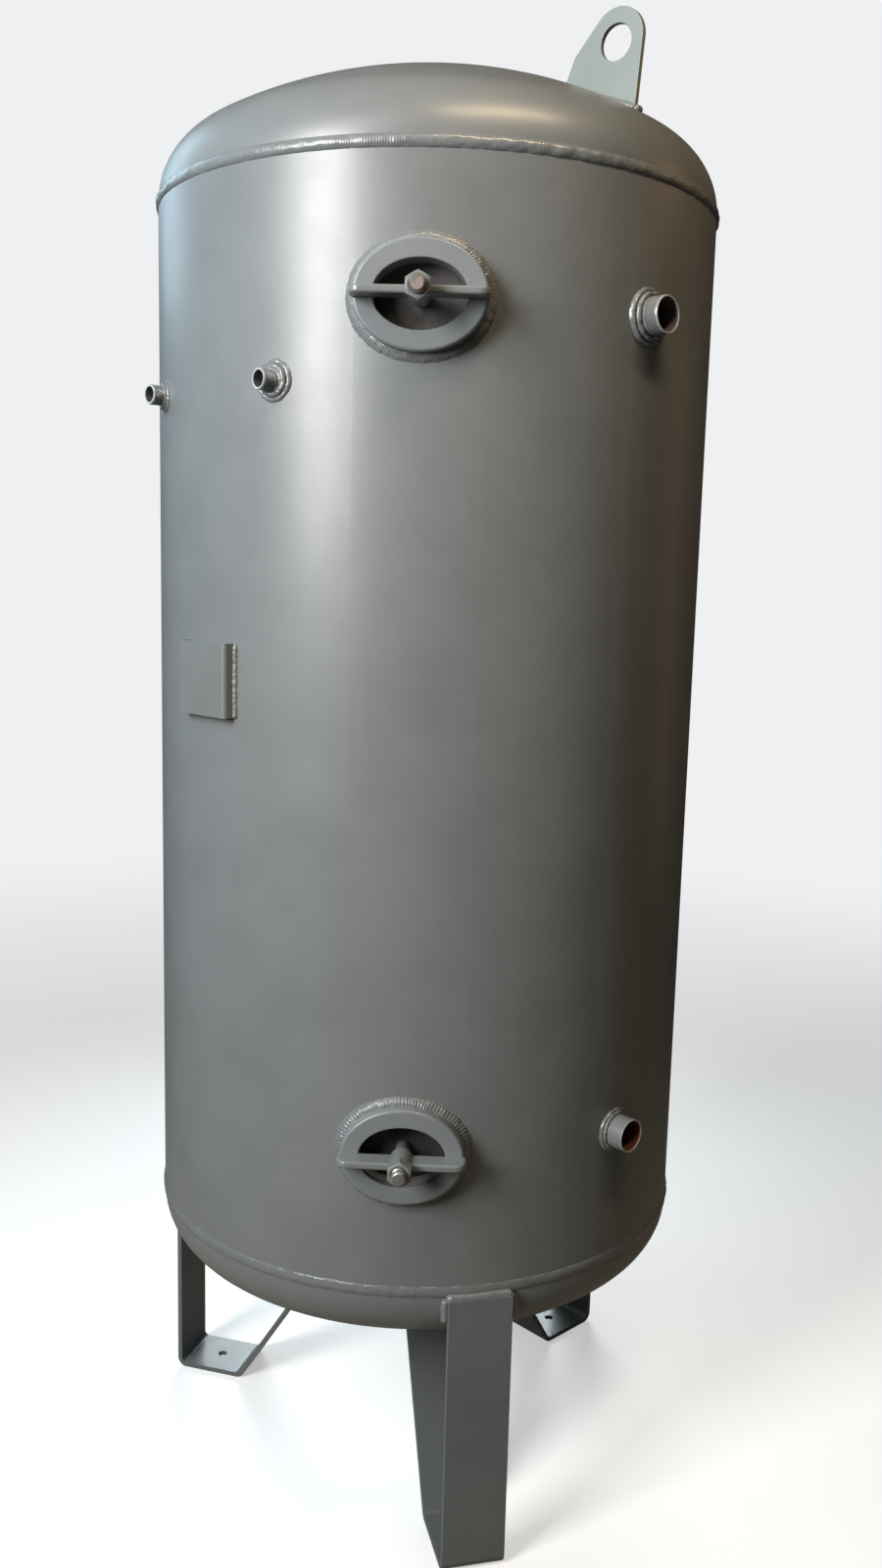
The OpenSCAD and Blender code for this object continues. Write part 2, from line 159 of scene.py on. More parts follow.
class Shade:
    """A material that is put together node by node."""

    def __init__(self, name: str) -> None:
        """Make an empty material of that name.

        Args:
            name: Name of the material.
        """
        self.material = bpy.data.materials.new(name)
        self.material.use_nodes = True
        self.nodes = self.material.node_tree.nodes
        self.links = self.material.node_tree.links
        self.nodes.clear()

    def add(
        self,
        kind: str,
        settings: dict[str, object] | None = None,
        sockets: dict[int | str, object] | None = None,
        output: int | str = 0,
    ) -> Sock:
        """Add one node.

        Args:
            kind: The node's type.
            settings: Its own settings, set before its sockets.
            sockets: Values or links of its inputs, by name or number.
            output: Which output is wanted.

        Returns:
            The wanted output.
        """
        node = self.nodes.new(kind)
        for key, value in (settings or {}).items():
            setattr(node, key, value)
        for key, value in (sockets or {}).items():
            if isinstance(value, Sock):
                self.links.new(value.socket, node.inputs[key])
            else:
                node.inputs[key].default_value = value
        return Sock(self, node.outputs[output] if node.outputs else None)

    def place(self, centre: Sequence[float] = (0, 0, 0)) -> Sock:
        """Object coordinates counted from a centre."""
        raw = self.add("ShaderNodeTexCoord", output="Object")
        return self.vector("SUBTRACT", raw, tuple(centre))

    def vector(self, operation: str, *values: object) -> Sock:
        """Add one Vector Math node.

        Args:
            operation: The node's operation.
            values: Links or vectors for its inputs, in order.

        Returns:
            The node's result: a number for a length or a dot product, else a vector.
        """
        output = "Value" if operation in ("LENGTH", "DOT_PRODUCT") else "Vector"
        return self.add(
            "ShaderNodeVectorMath", {"operation": operation}, dict(enumerate(values)), output
        )

    def split(self, place: Sock) -> list[Sock]:
        """The three coordinates of a place."""
        first = self.add("ShaderNodeSeparateXYZ", None, {0: place})
        return [Sock(self, output) for output in first.socket.node.outputs]

    def noise(self, place: Sock, scale: float, detail: float = 2.0) -> Sock:
        """Soft noise from nought to one.

        Args:
            place: Coordinates to read it at.
            scale: How many lumps there are to a metre.
            detail: How many finer layers it has.

        Returns:
            The noise.
        """
        return self.add(
            "ShaderNodeTexNoise", None, {"Vector": place, "Scale": scale, "Detail": detail}
        )

    def ramp(self, value: Sock, low: float, high: float, start: float, end: float) -> Sock:
        """Map a stretch of values to another, smoothly and without running past its ends."""
        return self.add(
            "ShaderNodeMapRange",
            {"interpolation_type": "SMOOTHSTEP"},
            {"Value": value, "From Min": low, "From Max": high, "To Min": start, "To Max": end},
        )

    def blend(self, factor: Sock | float, first: object, second: object) -> Sock:
        """Colour between two colours."""
        return self.add(
            "ShaderNodeMix", {"data_type": "RGBA"}, {0: factor, 6: first, 7: second}, 2
        )

    def bump(self, height: Sock, distance: float = 1.0) -> Sock:
        """Normal of a surface whose height is given in units of the distance."""
        sockets = {"Strength": 1.0, "Distance": distance, "Height": height}
        return self.add("ShaderNodeBump", None, sockets)

    def principled(self, sockets: dict[str, object]) -> Sock:
        """Surface with those values and links."""
        return self.add("ShaderNodeBsdfPrincipled", None, sockets)

    def finish(self, surface: Sock) -> bpy.types.Material:
        """Join the surface to the output and hand over the material."""
        self.add("ShaderNodeOutputMaterial", None, {"Surface": surface})
        return self.material


def tinted(colour: Colour, by: float = 1.0) -> Cover:
    """Colour with full cover, made lighter or darker by a factor."""
    return (*(c * by for c in colour), 1.0)


@dataclass(frozen=True)
class Enamel:
    """Sprayed semi-gloss enamel over steel: orange peel, gentle waves and soft blotches."""

    name: str
    colour: Colour = (0.186, 0.197, 0.2)
    roughness: float = 0.39
    coat_roughness: float = 0.3
    peel: float = 0.11 * MM
    peel_scale: float = 230.0
    wave: float = 0.45 * MM
    wave_scale: float = 4.5
    grit: float = 0.0
    ripple: Ripple = Ripple.NONE
    ripple_pitch: float = 3.4 * MM
    ripple_depth: float = 0.25 * MM
    coat_weight: float = 0.36
    blotch_scale: float = 9.0
    dust_scale: float = 140.0
    grit_scale: float = 620.0
    rust_scale: float = 220.0
    wander_scale: float = 60.0
    centre: Place = (0.0, 0.0, 0.0)
    axis: Place = (0.0, 0.0, 1.0)
    inside: Colour | None = None
    inside_radius: float = 0.0
    rim: float = 0.0

    def height(self, shade: Shade, place: Sock) -> Sock:
        """Height of the paint's surface, in metres.

        Args:
            shade: The material that is being made.
            place: Coordinates to read it at.

        Returns:
            The height.
        """
        height = shade.noise(place, self.peel_scale, 1.5) * self.peel
        height = height + shade.noise(place, self.wave_scale, 1.0) * self.wave
        if self.grit:
            grain = shade.noise(place, self.grit_scale, 3.0)
            specks = shade.ramp(grain, 0.56, 0.74, 0.0, 1.0)
            height = height + specks * self.grit
        if self.ripple is not Ripple.NONE:
            x, y, z = shade.split(shade.place(self.centre))
            across = y if self.ripple is Ripple.ROUND_VESSEL else z
            count = round(FULL_TURN * self.ripple.value / self.ripple_pitch)
            wander = shade.noise(place, self.wander_scale, 1.0) * 5.0
            wave = (across.angle_from(x) * float(count) + wander).sine()
            height = height + wave * self.ripple_depth
        return height

    def bore(self, shade: Shade) -> Sock:
        """One inside the bore of a pipe along the axis, else nought."""
        away = shade.vector("CROSS_PRODUCT", shade.place(self.centre), self.axis)
        return 1.0 - (shade.vector("LENGTH", away) > self.inside_radius)

    def lighter_mouth_band(self, shade: Shade) -> Sock:
        """One on the last millimetre or so of a pipe's mouth, where the colour is made lighter,
        else nought.
        """
        depth = shade.vector("DOT_PRODUCT", shade.place(self.centre), self.axis)
        return shade.ramp(depth, self.rim - 1.2 * MM, self.rim - 0.4 * MM, 0.0, 1.0)

    def make(self) -> bpy.types.Material:
        """Build the material.

        Returns:
            The material.
        """
        shade = Shade(self.name)
        place = shade.place()
        blotch = shade.ramp(shade.noise(place, self.blotch_scale, 4.0), 0.3, 0.7, 0.0, 1.0)
        colour = shade.blend(blotch, tinted(self.colour, 0.95), tinted(self.colour, 1.05))
        dust = shade.ramp(shade.noise(place, self.dust_scale, 4.0), 0.62, 0.8, 0.0, 0.35)
        colour = shade.blend(dust, colour, tinted(self.colour, 1.25))
        roughness = shade.noise(place, 26.0, 3.0) * 0.12 + (self.roughness - 0.06)
        if self.inside:
            bore = self.bore(shade)
            grain = shade.noise(place, self.rust_scale, 4.0)
            rust = shade.blend(grain, tinted(self.inside, 0.55), tinted(self.inside, 1.4))
            colour = shade.blend(bore, colour, rust)
            roughness = roughness + bore * 0.3
        if self.rim:
            # The pipe's mouth gets a lighter colour.
            colour = shade.blend(self.lighter_mouth_band(shade), colour, tinted(self.colour, 2.4))
        surface = shade.principled(
            {
                "Base Color": colour,
                "Roughness": roughness,
                "Normal": shade.bump(self.height(shade, place)),
                "Specular IOR Level": 0.5,
                "Coat Weight": self.coat_weight,
                "Coat Roughness": self.coat_roughness,
            }
        )
        return shade.finish(surface)


@dataclass(frozen=True)
class RawSteel:
    """Unpainted steel with mottled oxide."""

    name: str
    colour: Colour
    oxide: Colour
    roughness: float
    metallic: float
    mottle: float = 90.0
    pitting: float = 0.12 * MM
    scratch_scale: float = 300.0
    pit_scale: float = 900.0
    painted_behind: float | None = None
    overspray: Colour = (0.13, 0.14, 0.135)

    def make(self) -> bpy.types.Material:
        """Build the material.

        Returns:
            The material.
        """
        shade = Shade(self.name)
        place = shade.place()
        patch = shade.ramp(shade.noise(place, self.mottle, 5.0), 0.35, 0.68, 0.0, 1.0)
        scratch = shade.noise(shade.vector("MULTIPLY", place, (1, 1, 9)), self.scratch_scale, 3.0)
        colour = shade.blend(patch, tinted(self.colour), tinted(self.oxide))
        roughness = patch * 0.25 + scratch * 0.12 + self.roughness
        pits = shade.noise(place, self.pit_scale, 3.0) * self.pitting
        height = pits + scratch * (self.pitting * 0.6)
        metallic = (1.0 - patch * 0.5) * self.metallic
        if self.painted_behind is not None:
            paint = shade.split(place)[1] > self.painted_behind
            colour = shade.blend(paint, colour, tinted(self.overspray))
            metallic = metallic * (1.0 - paint)
        surface = shade.principled(
            {
                "Base Color": colour,
                "Roughness": roughness,
                "Metallic": metallic,
                "Normal": shade.bump(height),
            }
        )
        return shade.finish(surface)


@dataclass(frozen=True)
class BlackRubber:
    """Matt rubber of the gaskets, with a faint bloom."""

    name: str
    bloom_scale: float = 120.0
    grain_scale: float = 1500.0
    grain_depth: float = 0.05 * MM

    def make(self) -> bpy.types.Material:
        """Build the material.

        Returns:
            The material.
        """
        shade = Shade(self.name)
        place = shade.place()
        bloom = shade.noise(place, self.bloom_scale, 4.0)
        colour = shade.blend(bloom, (0.02, 0.02, 0.021, 1), (0.05, 0.05, 0.052, 1))
        normal = shade.bump(shade.noise(place, self.grain_scale), self.grain_depth)
        surface = shade.principled(
            {"Base Color": colour, "Roughness": bloom * 0.15 + 0.7, "Normal": normal}
        )
        return shade.finish(surface)


# ---------- Modelling ----------


def deselect_all() -> None:
    """Leave nothing selected, so that an operator acts only on what is picked next."""
    if bpy.context.mode != "OBJECT":
        bpy.ops.object.mode_set(mode="OBJECT")
    bpy.ops.object.select_all(action="DESELECT")


def take_up(piece: Piece) -> None:
    """Select one piece alone and make it the active one.

    Args:
        piece: The piece.
    """
    deselect_all()
    piece.select_set(True)
    bpy.context.view_layer.objects.active = piece


def named(name: str) -> Piece:
    """Name the primitive that was just added.

    Args:
        name: The name.

    Returns:
        The primitive.
    """
    piece = bpy.context.active_object
    piece.name = piece.data.name = name
    return piece


@contextmanager
def editing(piece: Piece, part: Part = Part.VERT) -> Iterator[None]:
    """Edit one piece, starting with nothing picked.

    Args:
        piece: The piece to edit.
        part: The kind of element that selection works on.
    """
    take_up(piece)
    bpy.ops.object.mode_set(mode="EDIT")
    bpy.ops.mesh.select_mode(type=part.name)
    bpy.ops.mesh.select_all(action="DESELECT")
    yield
    bpy.ops.object.mode_set(mode="OBJECT")


def pick_all() -> None:
    """Pick the whole of the piece that is being edited."""
    bpy.ops.mesh.select_all(action="SELECT")


def middle_of(item: object) -> Vector:
    """Middle of a mesh element."""
    if isinstance(item, bmesh.types.BMVert):
        return item.co
    return sum((v.co for v in item.verts), Vector()) / len(item.verts)


def pick(piece: Piece, part: Part, wanted: Callable[[Vector, object], bool]) -> None:
    """Pick elements of the piece that is being edited, by their place.

    Args:
        piece: The piece.
        part: The kind of element.
        wanted: Says, from its middle and the element itself, whether it is picked.
    """
    mesh = bmesh.from_edit_mesh(piece.data)
    for item in getattr(mesh, part.value):
        item.select_set(wanted(middle_of(item), item))
    mesh.select_flush_mode()
    bmesh.update_edit_mesh(piece.data)


def level(edge: bmesh.types.BMEdge, axis: str) -> bool:
    """Whether both ends of an edge have the same coordinate on an axis."""
    ends = [getattr(v.co, axis) for v in edge.verts]
    return abs(ends[0] - ends[1]) < 0.1 * MM


def draw_out(by: Sequence[float]) -> None:
    """Extrude what is picked and move it."""
    bpy.ops.mesh.extrude_region_move(TRANSFORM_OT_translate={"value": tuple(by)})


def trace(points: Sequence[Vector]) -> None:
    """Draw edges through points, from a lone point at the first of them, and pick them all.

    Args:
        points: The points, in order.
    """
    pick_all()
    for here, there in zip(points, points[1:]):
        draw_out(there - here)
    pick_all()


def tidy_mesh() -> None:
    """Merge doubles and point the faces outwards, on the piece that is being edited."""
    pick_all()
    bpy.ops.mesh.remove_doubles(threshold=MERGE_DISTANCE)
    bpy.ops.mesh.normals_make_consistent(inside=False)


def put(piece: Piece, matrix: Matrix) -> Piece:
    """Move a piece and keep its new place in its mesh.

    Args:
        piece: The piece.
        matrix: Its place in the frame.

    Returns:
        The piece.
    """
    piece.matrix_world = matrix
    take_up(piece)
    bpy.ops.object.transform_apply(location=True, rotation=True, scale=True)
    return piece


def change(piece: Piece, kind: str, **settings: object) -> None:
    """Add a modifier and apply it.

    Args:
        piece: The piece.
        kind: The modifier's type.
        settings: The modifier's own settings.
    """
    take_up(piece)
    modifier = piece.modifiers.new(kind.lower(), kind)
    for key, value in settings.items():
        setattr(modifier, key, value)
    bpy.ops.object.modifier_apply(modifier=modifier.name)


def combine(piece: Piece, other: Piece, operation: str) -> None:
    """Cut, join or intersect a piece with another one, which is used up."""
    change(piece, "BOOLEAN", object=other, operation=operation, solver="EXACT")
    bpy.data.objects.remove(other)


def ease(piece: Piece, width: float, segments: int = 2, sharper_than: float = 35.0) -> None:
    """Round the sharp edges of a piece."""
    change(
        piece,
        "BEVEL",
        width=width,
        segments=segments,
        limit_method="ANGLE",
        angle_limit=math.radians(sharper_than),
    )


def roughen(
    piece: Piece, lump: float, height: float, layers: int = 1, group: str = ""
) -> None:
    """Push a surface in and out in soft lumps.

    Args:
        piece: The piece.
        lump: Size of a lump.
        height: Greatest difference in height.
        layers: How many finer layers the lumps have.
        group: Vertex group that alone is moved, if not the whole piece.
    """
    texture = bpy.data.textures.new(f"{piece.name}_lumps", "CLOUDS")
    texture.noise_scale = lump
    texture.noise_depth = layers
    change(
        piece,
        "DISPLACE",
        texture=texture,
        texture_coords="LOCAL",
        strength=height,
        mid_level=0.5,
        vertex_group=group,
    )


def start_point(name: str, at: Sequence[float]) -> Piece:
    """Start a piece as a single point: a small plane drawn together.

    Args:
        name: Name of the piece.
        at: Where the point stands.

    Returns:
        The piece.
    """
    deselect_all()
    bpy.ops.mesh.primitive_plane_add(size=MM)
    piece = named(name)
    with editing(piece):
        pick_all()
        bpy.ops.mesh.merge(type="CENTER")
        bpy.ops.transform.translate(value=tuple(at))
    return piece


def turned(name: str, profile: Sequence[Point], steps: int = 64, closed: bool = True) -> Piece:
    """Turn a profile about the z axis, as on a lathe.

    Args:
        name: Name of the piece.
        profile: Points of (radius, height).
        steps: Steps round the axis.
        closed: Whether the profile closes on itself, as for a ring or a pipe.

    Returns:
        The piece, closed all round.
    """
    points = [Vector((r, 0, z)) for r, z in profile]
    if closed:
        points.append(points[0])
    piece = start_point(name, points[0])
    with editing(piece):
        trace(points)
        bpy.ops.mesh.spin(steps=steps, angle=FULL_TURN, center=(0, 0, 0), axis=(0, 0, 1))
        tidy_mesh()
    return piece


def plate(name: str, outline: Sequence[Point], thickness: float) -> Piece:
    """Cut a plate to an outline in the xy plane, centred on it in thickness.

    Args:
        name: Name of the piece.
        outline: Corners of the plate, in order.
        thickness: Thickness of the plate.

    Returns:
        The plate.
    """
    points = [Vector((x, y, -thickness / 2)) for x, y in outline]
    points.append(points[0])
    piece = start_point(name, points[0])
    with editing(piece):
        trace(points)
        bpy.ops.mesh.remove_doubles(threshold=MERGE_DISTANCE)
        bpy.ops.mesh.edge_face_add()
        draw_out((0, 0, thickness))
        tidy_mesh()
    return piece


def arc(centre: Point, radius: float, start: float, sweep: float, steps: int) -> list[Point]:
    """Points along an arc.

    Args:
        centre: Middle of the arc's circle.
        radius: Its radius.
        start: Angle of the first point.
        sweep: Angle from there to the last point, positive anticlockwise.
        steps: Steps between the two.

    Returns:
        The points, both ends among them.
    """
    angles = [start + sweep * k / steps for k in range(steps + 1)]
    return [
        (centre[0] + radius * math.cos(a), centre[1] + radius * math.sin(a)) for a in angles
    ]


def drilled(
    piece: Piece, radius: float, reach: Point, at: Matrix, steps: int = 64
) -> Piece:
    """Drill a round hole.

    Args:
        piece: The piece.
        radius: Radius of the hole.
        reach: Where the drill starts and ends along its z axis.
        at: Frame of the drill.
        steps: Steps round the hole.

    Returns:
        The piece.
    """
    start, end = reach
    profile = [(0, start), (radius, start), (radius, end), (0, end)]
    combine(piece, put(turned("drill", profile, steps, closed=False), at), "DIFFERENCE")
    return piece


def folded(
    name: str, path: Sequence[Point], width: float, thickness: float, bend_r: float
) -> Piece:
    """Bend a flat strip round the corners of a path in the xy plane, all turning clockwise.

    Args:
        name: Name of the piece.
        path: Corner points of the strip's middle line.
        width: Width of the strip, along z.
        thickness: Thickness of the strip.
        bend_r: Radius of the middle line at the bends.

    Returns:
        The strip, with its edges eased.
    """
    corners = [Vector((x, y, 0)) for x, y in path]
    here = corners[0]
    piece = start_point(name, here - Vector((0, 0, width / 2)))
    with editing(piece):
        pick_all()
        draw_out((0, 0, width))
        pick_all()
        for before, corner, after in zip(corners, corners[1:], corners[2:]):
            come, go = (corner - before).normalized(), (after - corner).normalized()
            angle = come.angle(go)
            stop = corner - come * bend_r * math.tan(angle / 2)
            draw_out(stop - here)
            centre = stop + bend_r * Vector((come.y, -come.x, 0))
            bpy.ops.mesh.spin(steps=8, angle=angle, center=centre, axis=(0, 0, 1))
            here = corner + go * bend_r * math.tan(angle / 2)
        draw_out(corners[-1] - here)
    change(piece, "SOLIDIFY", thickness=thickness, offset=0.0, use_even_offset=True)
    with editing(piece):
        tidy_mesh()
    return piece


def oval_stack(
    name: str, half: Point, stations: Sequence[Point], points: int = 144
) -> Piece:
    """Draw an upright oval loop through stations and close the last to the first.

    Args:
        name: Name of the piece.
        half: Half width and half height of the oval.
        stations: For each loop, how far it lies outside the oval and how far out of the vessel.
        points: Points of each loop.

    Returns:
        A closed ring, made at the origin and facing -Y.
    """
    deselect_all()
    bpy.ops.mesh.primitive_circle_add(
        vertices=points, radius=1.0, rotation=(QUARTER_TURN, 0, 0), location=(0, 0, 0)
    )
    piece = named(name)
    bpy.ops.object.transform_apply(location=True, rotation=True, scale=True)
    with editing(piece):
        pick_all()
        wide, high, out = 1.0, 1.0, 0.0
        for index, (offset, reach) in enumerate([*stations, stations[0]]):
            step = (0, out - reach, 0)
            if index:
                draw_out(step)
            else:
                bpy.ops.transform.translate(value=step)
            new_wide, new_high = half[0] + offset, half[1] + offset
            bpy.ops.transform.resize(
                value=(new_wide / wide, 1, new_high / high), center_override=(0, 0, 0)
            )
            wide, high, out = new_wide, new_high, reach
        tidy_mesh()
    return piece


def bead(name: str, length: float, radius: float, pitch: float = 3.2 * MM) -> Piece:
    """Lay a straight weld bead along the z axis, starting at the origin.

    Args:
        name: Name of the piece.
        length: Length of the bead.
        radius: Radius of the bead.
        pitch: Distance from one ripple to the next.

    Returns:
        The rippled, lumpy bead with round ends.
    """
    per_ripple = 3
    count = max(8, round(length / pitch) * per_ripple)
    profile = [(0.0, 0.0)]
    for k in range(1, count):
        z = length * k / count
        end = min(z, length - z, radius) / radius
        swell = 1.0 + 0.05 * math.cos(FULL_TURN * k / per_ripple)
        profile.append((radius * swell * math.sqrt(1 - (1 - end) ** 2), z))
    profile.append((0.0, length))
    piece = turned(name, profile, steps=14, closed=False)
    roughen(piece, 2.2 * radius, 0.32 * radius)
    return piece


def thread(radius: float, start: float, end: float, pitch: float) -> list[Point]:
    """Teeth of a thread, as points of (radius, height) for a lathe.

    Args:
        radius: Radius of the thread over its teeth.
        start: Where the thread starts.
        end: Where it ends.
        pitch: Distance from one tooth to the next.

    Returns:
        The points, from the start to the end.
    """
    depth = 0.6 * pitch
    count = int((end - start) / pitch)
    points: list[Point] = []
    for k in range(count):
        z = start + k * pitch
        points += [(radius - depth, z), (radius, z + 0.4 * pitch), (radius, z + 0.6 * pitch)]
    return points


def outward(azimuth: float, height: float, sideways: float = 0.0) -> Matrix:
    """Frame whose z axis points straight out of the vessel, with y upwards."""
    return (
        Matrix.Translation((0, 0, height))
        @ Matrix.Rotation(azimuth, 4, "Z")
        @ Matrix.Rotation(QUARTER_TURN, 4, "X")
        @ Matrix.Translation((sideways, 0, 0))
    )


def upright(azimuth: float) -> Matrix:
    """Frame of a radial plate: x is the distance from the vessel's axis and y is the height.

    Args:
        azimuth: Angle round the vessel.

    Returns:
        The frame.
    """
    out = Vector((math.sin(azimuth), -math.cos(azimuth), 0))
    up = Vector((0, 0, 1))
    return Matrix((out, up, out.cross(up))).transposed().to_4x4()


def along(start: Vector, end: Vector) -> Matrix:
    """Frame at start whose z axis points at end."""
    turn = (end - start).to_track_quat("Z", "Y").to_matrix().to_4x4()
    return Matrix.Translation(start) @ turn


def smooth(piece: Piece, degrees: float) -> None:
    """Shade a piece smooth, apart from its sharp edges."""
    take_up(piece)
    bpy.ops.object.shade_smooth_by_angle(angle=math.radians(degrees))


def coat(piece: Piece, material: bpy.types.Material) -> None:
    """Give a piece or a CAD node one finish all over."""
    piece.data.materials.clear()
    piece.data.materials.append(material)


def settle(
    piece: Piece,
    material: bpy.types.Material,
    slot: Slot,
    body: str,
    node: str,
    degrees: float = SHARP_EDGE,
) -> None:
    """Finish a piece and set it in the frame.

    Args:
        piece: The piece, in place.
        material: Its finish.
        slot: The record's slot of that finish; not used.
        body: The CAD body it rides on.
        node: The CAD node it stands for.
        degrees: Edges sharper than this stay sharp.
    """
    smooth(piece, degrees)
    if degrees < FLAT_FACED_BELOW:
        change(piece, "WEIGHTED_NORMAL", keep_sharp=True, weight=100)
    coat(piece, material)
    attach(piece, body)
    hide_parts(node)
    log.info("%s: %d faces on %s", piece.name, len(piece.data.polygons), body)


def settle_weld(piece: Piece, material: bpy.types.Material, node: str) -> None:
    """Finish a weld of the tank and set it in the frame."""
    settle(piece, material, Slot.WELD, TANK, node, BEAD_EDGE)


def joined(name: str, pieces: Sequence[Piece]) -> Piece:
    """Join several pieces into one object of separate solids.

    Args:
        name: Name of the piece.
        pieces: The pieces, which are used up.

    Returns:
        The joined piece.
    """
    deselect_all()
    for piece in pieces:
        piece.select_set(True)
    bpy.context.view_layer.objects.active = pieces[0]
    bpy.ops.object.join()
    return named(name)


def laid(name: str, runs: Sequence[tuple[Vector, Vector, float]], at: Matrix) -> Piece:
    """Lay straight weld beads and join them.

    Args:
        name: Name of the piece.
        runs: For each bead, where it starts and ends and its radius.
        at: Frame that the beads are laid in.

    Returns:
        The piece, with one solid for each bead.
    """
    beads = []
    for index, (start, end, radius) in enumerate(runs):
        run = bead(f"{name}_{index}", (end - start).length, radius)
        beads.append(put(run, at @ along(start, end)))
    return joined(name, beads)


# ---------- The tank ----------


@dataclass(frozen=True)
class Vessel:
    """Shell, heads and their long welds."""

    radius: float = 400 * MM
    bead_width: float = 16 * MM
    bead_root: float = 3 * MM
    lump_size: float = 13 * MM
    top_rise: float = 4.5 * MM
    top_lumps: float = 2.4 * MM
    bottom_rise: float = 3.0 * MM
    bottom_lumps: float = 1.4 * MM
    long_bead_r: float = 9 * MM
    long_bead_reach: float = 392.5 * MM
    long_bead_pitch: float = 11 * MM
    top_crown: float = 700 * MM
    top_knuckle: float = 100 * MM
    top_flange: float = 2 * MM
    bottom_crown: float = 800 * MM
    bottom_knuckle: float = 80 * MM
    bottom_flange: float = 8 * MM

    @property
    def bottom_seam(self) -> float:
        """Height of the bottom seam."""
        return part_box("shell")[0].z

    @property
    def top_seam(self) -> float:
        """Height of the top seam."""
        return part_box("shell")[1].z

    def crown_height(self, crown: float, knuckle: float, reach: float) -> float:
        """Height of a head's crown above its flange at a distance from the axis.

        Args:
            crown: Radius of the crown.
            knuckle: Radius of the knuckle.
            reach: Distance from the axis.

        Returns:
            The height.
        """
        drop = math.sqrt((crown - knuckle) ** 2 - (self.radius - knuckle) ** 2)
        return math.sqrt(crown**2 - reach**2) - drop

    def dome(self, reach: float) -> float:
        """Height of the top head at a distance from the axis."""
        rise = self.crown_height(self.top_crown, self.top_knuckle, reach)
        return self.top_seam + self.top_flange + rise

    def underside(self, reach: float) -> float:
        """Height of the bottom head at a distance from the axis."""
        rise = self.crown_height(self.bottom_crown, self.bottom_knuckle, reach)
        return self.bottom_seam - self.bottom_flange - rise

    def girth_bead(self, name: str, height: float, rise: float, lump: float) -> Piece:
        """Lay a weld bead round the vessel.

        Args:
            name: Name of the piece.
            height: Height of the seam.
            rise: How far the bead stands out from the shell, lumps included.
            lump: Height of its lumps.

        Returns:
            The bead.
        """
        half = self.bead_width / 2
        crest = rise - lump / 2
        arc_r = (half**2 + crest**2) / (2 * crest)
        spread = math.asin(half / arc_r)
        root = self.radius - self.bead_root
        centre = (self.radius + crest - arc_r, height)
        profile = [(root, height - half), (root, height + half)]
        profile += arc(centre, arc_r, spread, -2 * spread, 10)
        piece = turned(name, profile, steps=720)
        with editing(piece):
            pick(piece, Part.VERT, lambda at, _: at.xy.length > self.radius + 0.3 * MM)
            bpy.ops.object.vertex_group_add()
            bpy.ops.object.vertex_group_assign()
        roughen(piece, self.lump_size, lump, layers=2, group=piece.vertex_groups[0].name)
        return piece

    def build(self) -> dict[str, Piece]:
        """Make the girth beads and the lengthwise bead.

        Returns:
            The beads, by the CAD node each one stands for.
        """
        top = self.girth_bead("top_seam_bead", self.top_seam, self.top_rise, self.top_lumps)
        bottom = self.girth_bead(
            "bottom_seam_bead", self.bottom_seam, self.bottom_rise, self.bottom_lumps
        )
        low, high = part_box("long_seam_weld")
        seam = bead(
            "lengthwise_seam_bead", high.z - low.z, self.long_bead_r, self.long_bead_pitch
        )
        put(seam, Matrix.Translation((0, self.long_bead_reach, low.z)))
        return {"top_seam_weld": top, "bottom_seam_weld": bottom, "long_seam_weld": seam}

    def dress(self, beads: dict[str, Piece]) -> None:
        """Paint the shell, the heads and the beads.

        Args:
            beads: The beads, by the CAD node each one stands for.
        """
        paint = Enamel("vessel_enamel").make()
        for node in ("shell", "top_head", "bottom_head"):
            coat(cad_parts[node], paint)
        rippled = Enamel(
            "seam_enamel",
            roughness=0.26,
            coat_roughness=0.16,
            peel_scale=300.0,
            peel=0.25 * MM,
            ripple=Ripple.ROUND_VESSEL,
            ripple_depth=0.09 * MM,
        ).make()
        for node, piece in beads.items():
            settle_weld(piece, rippled, node)


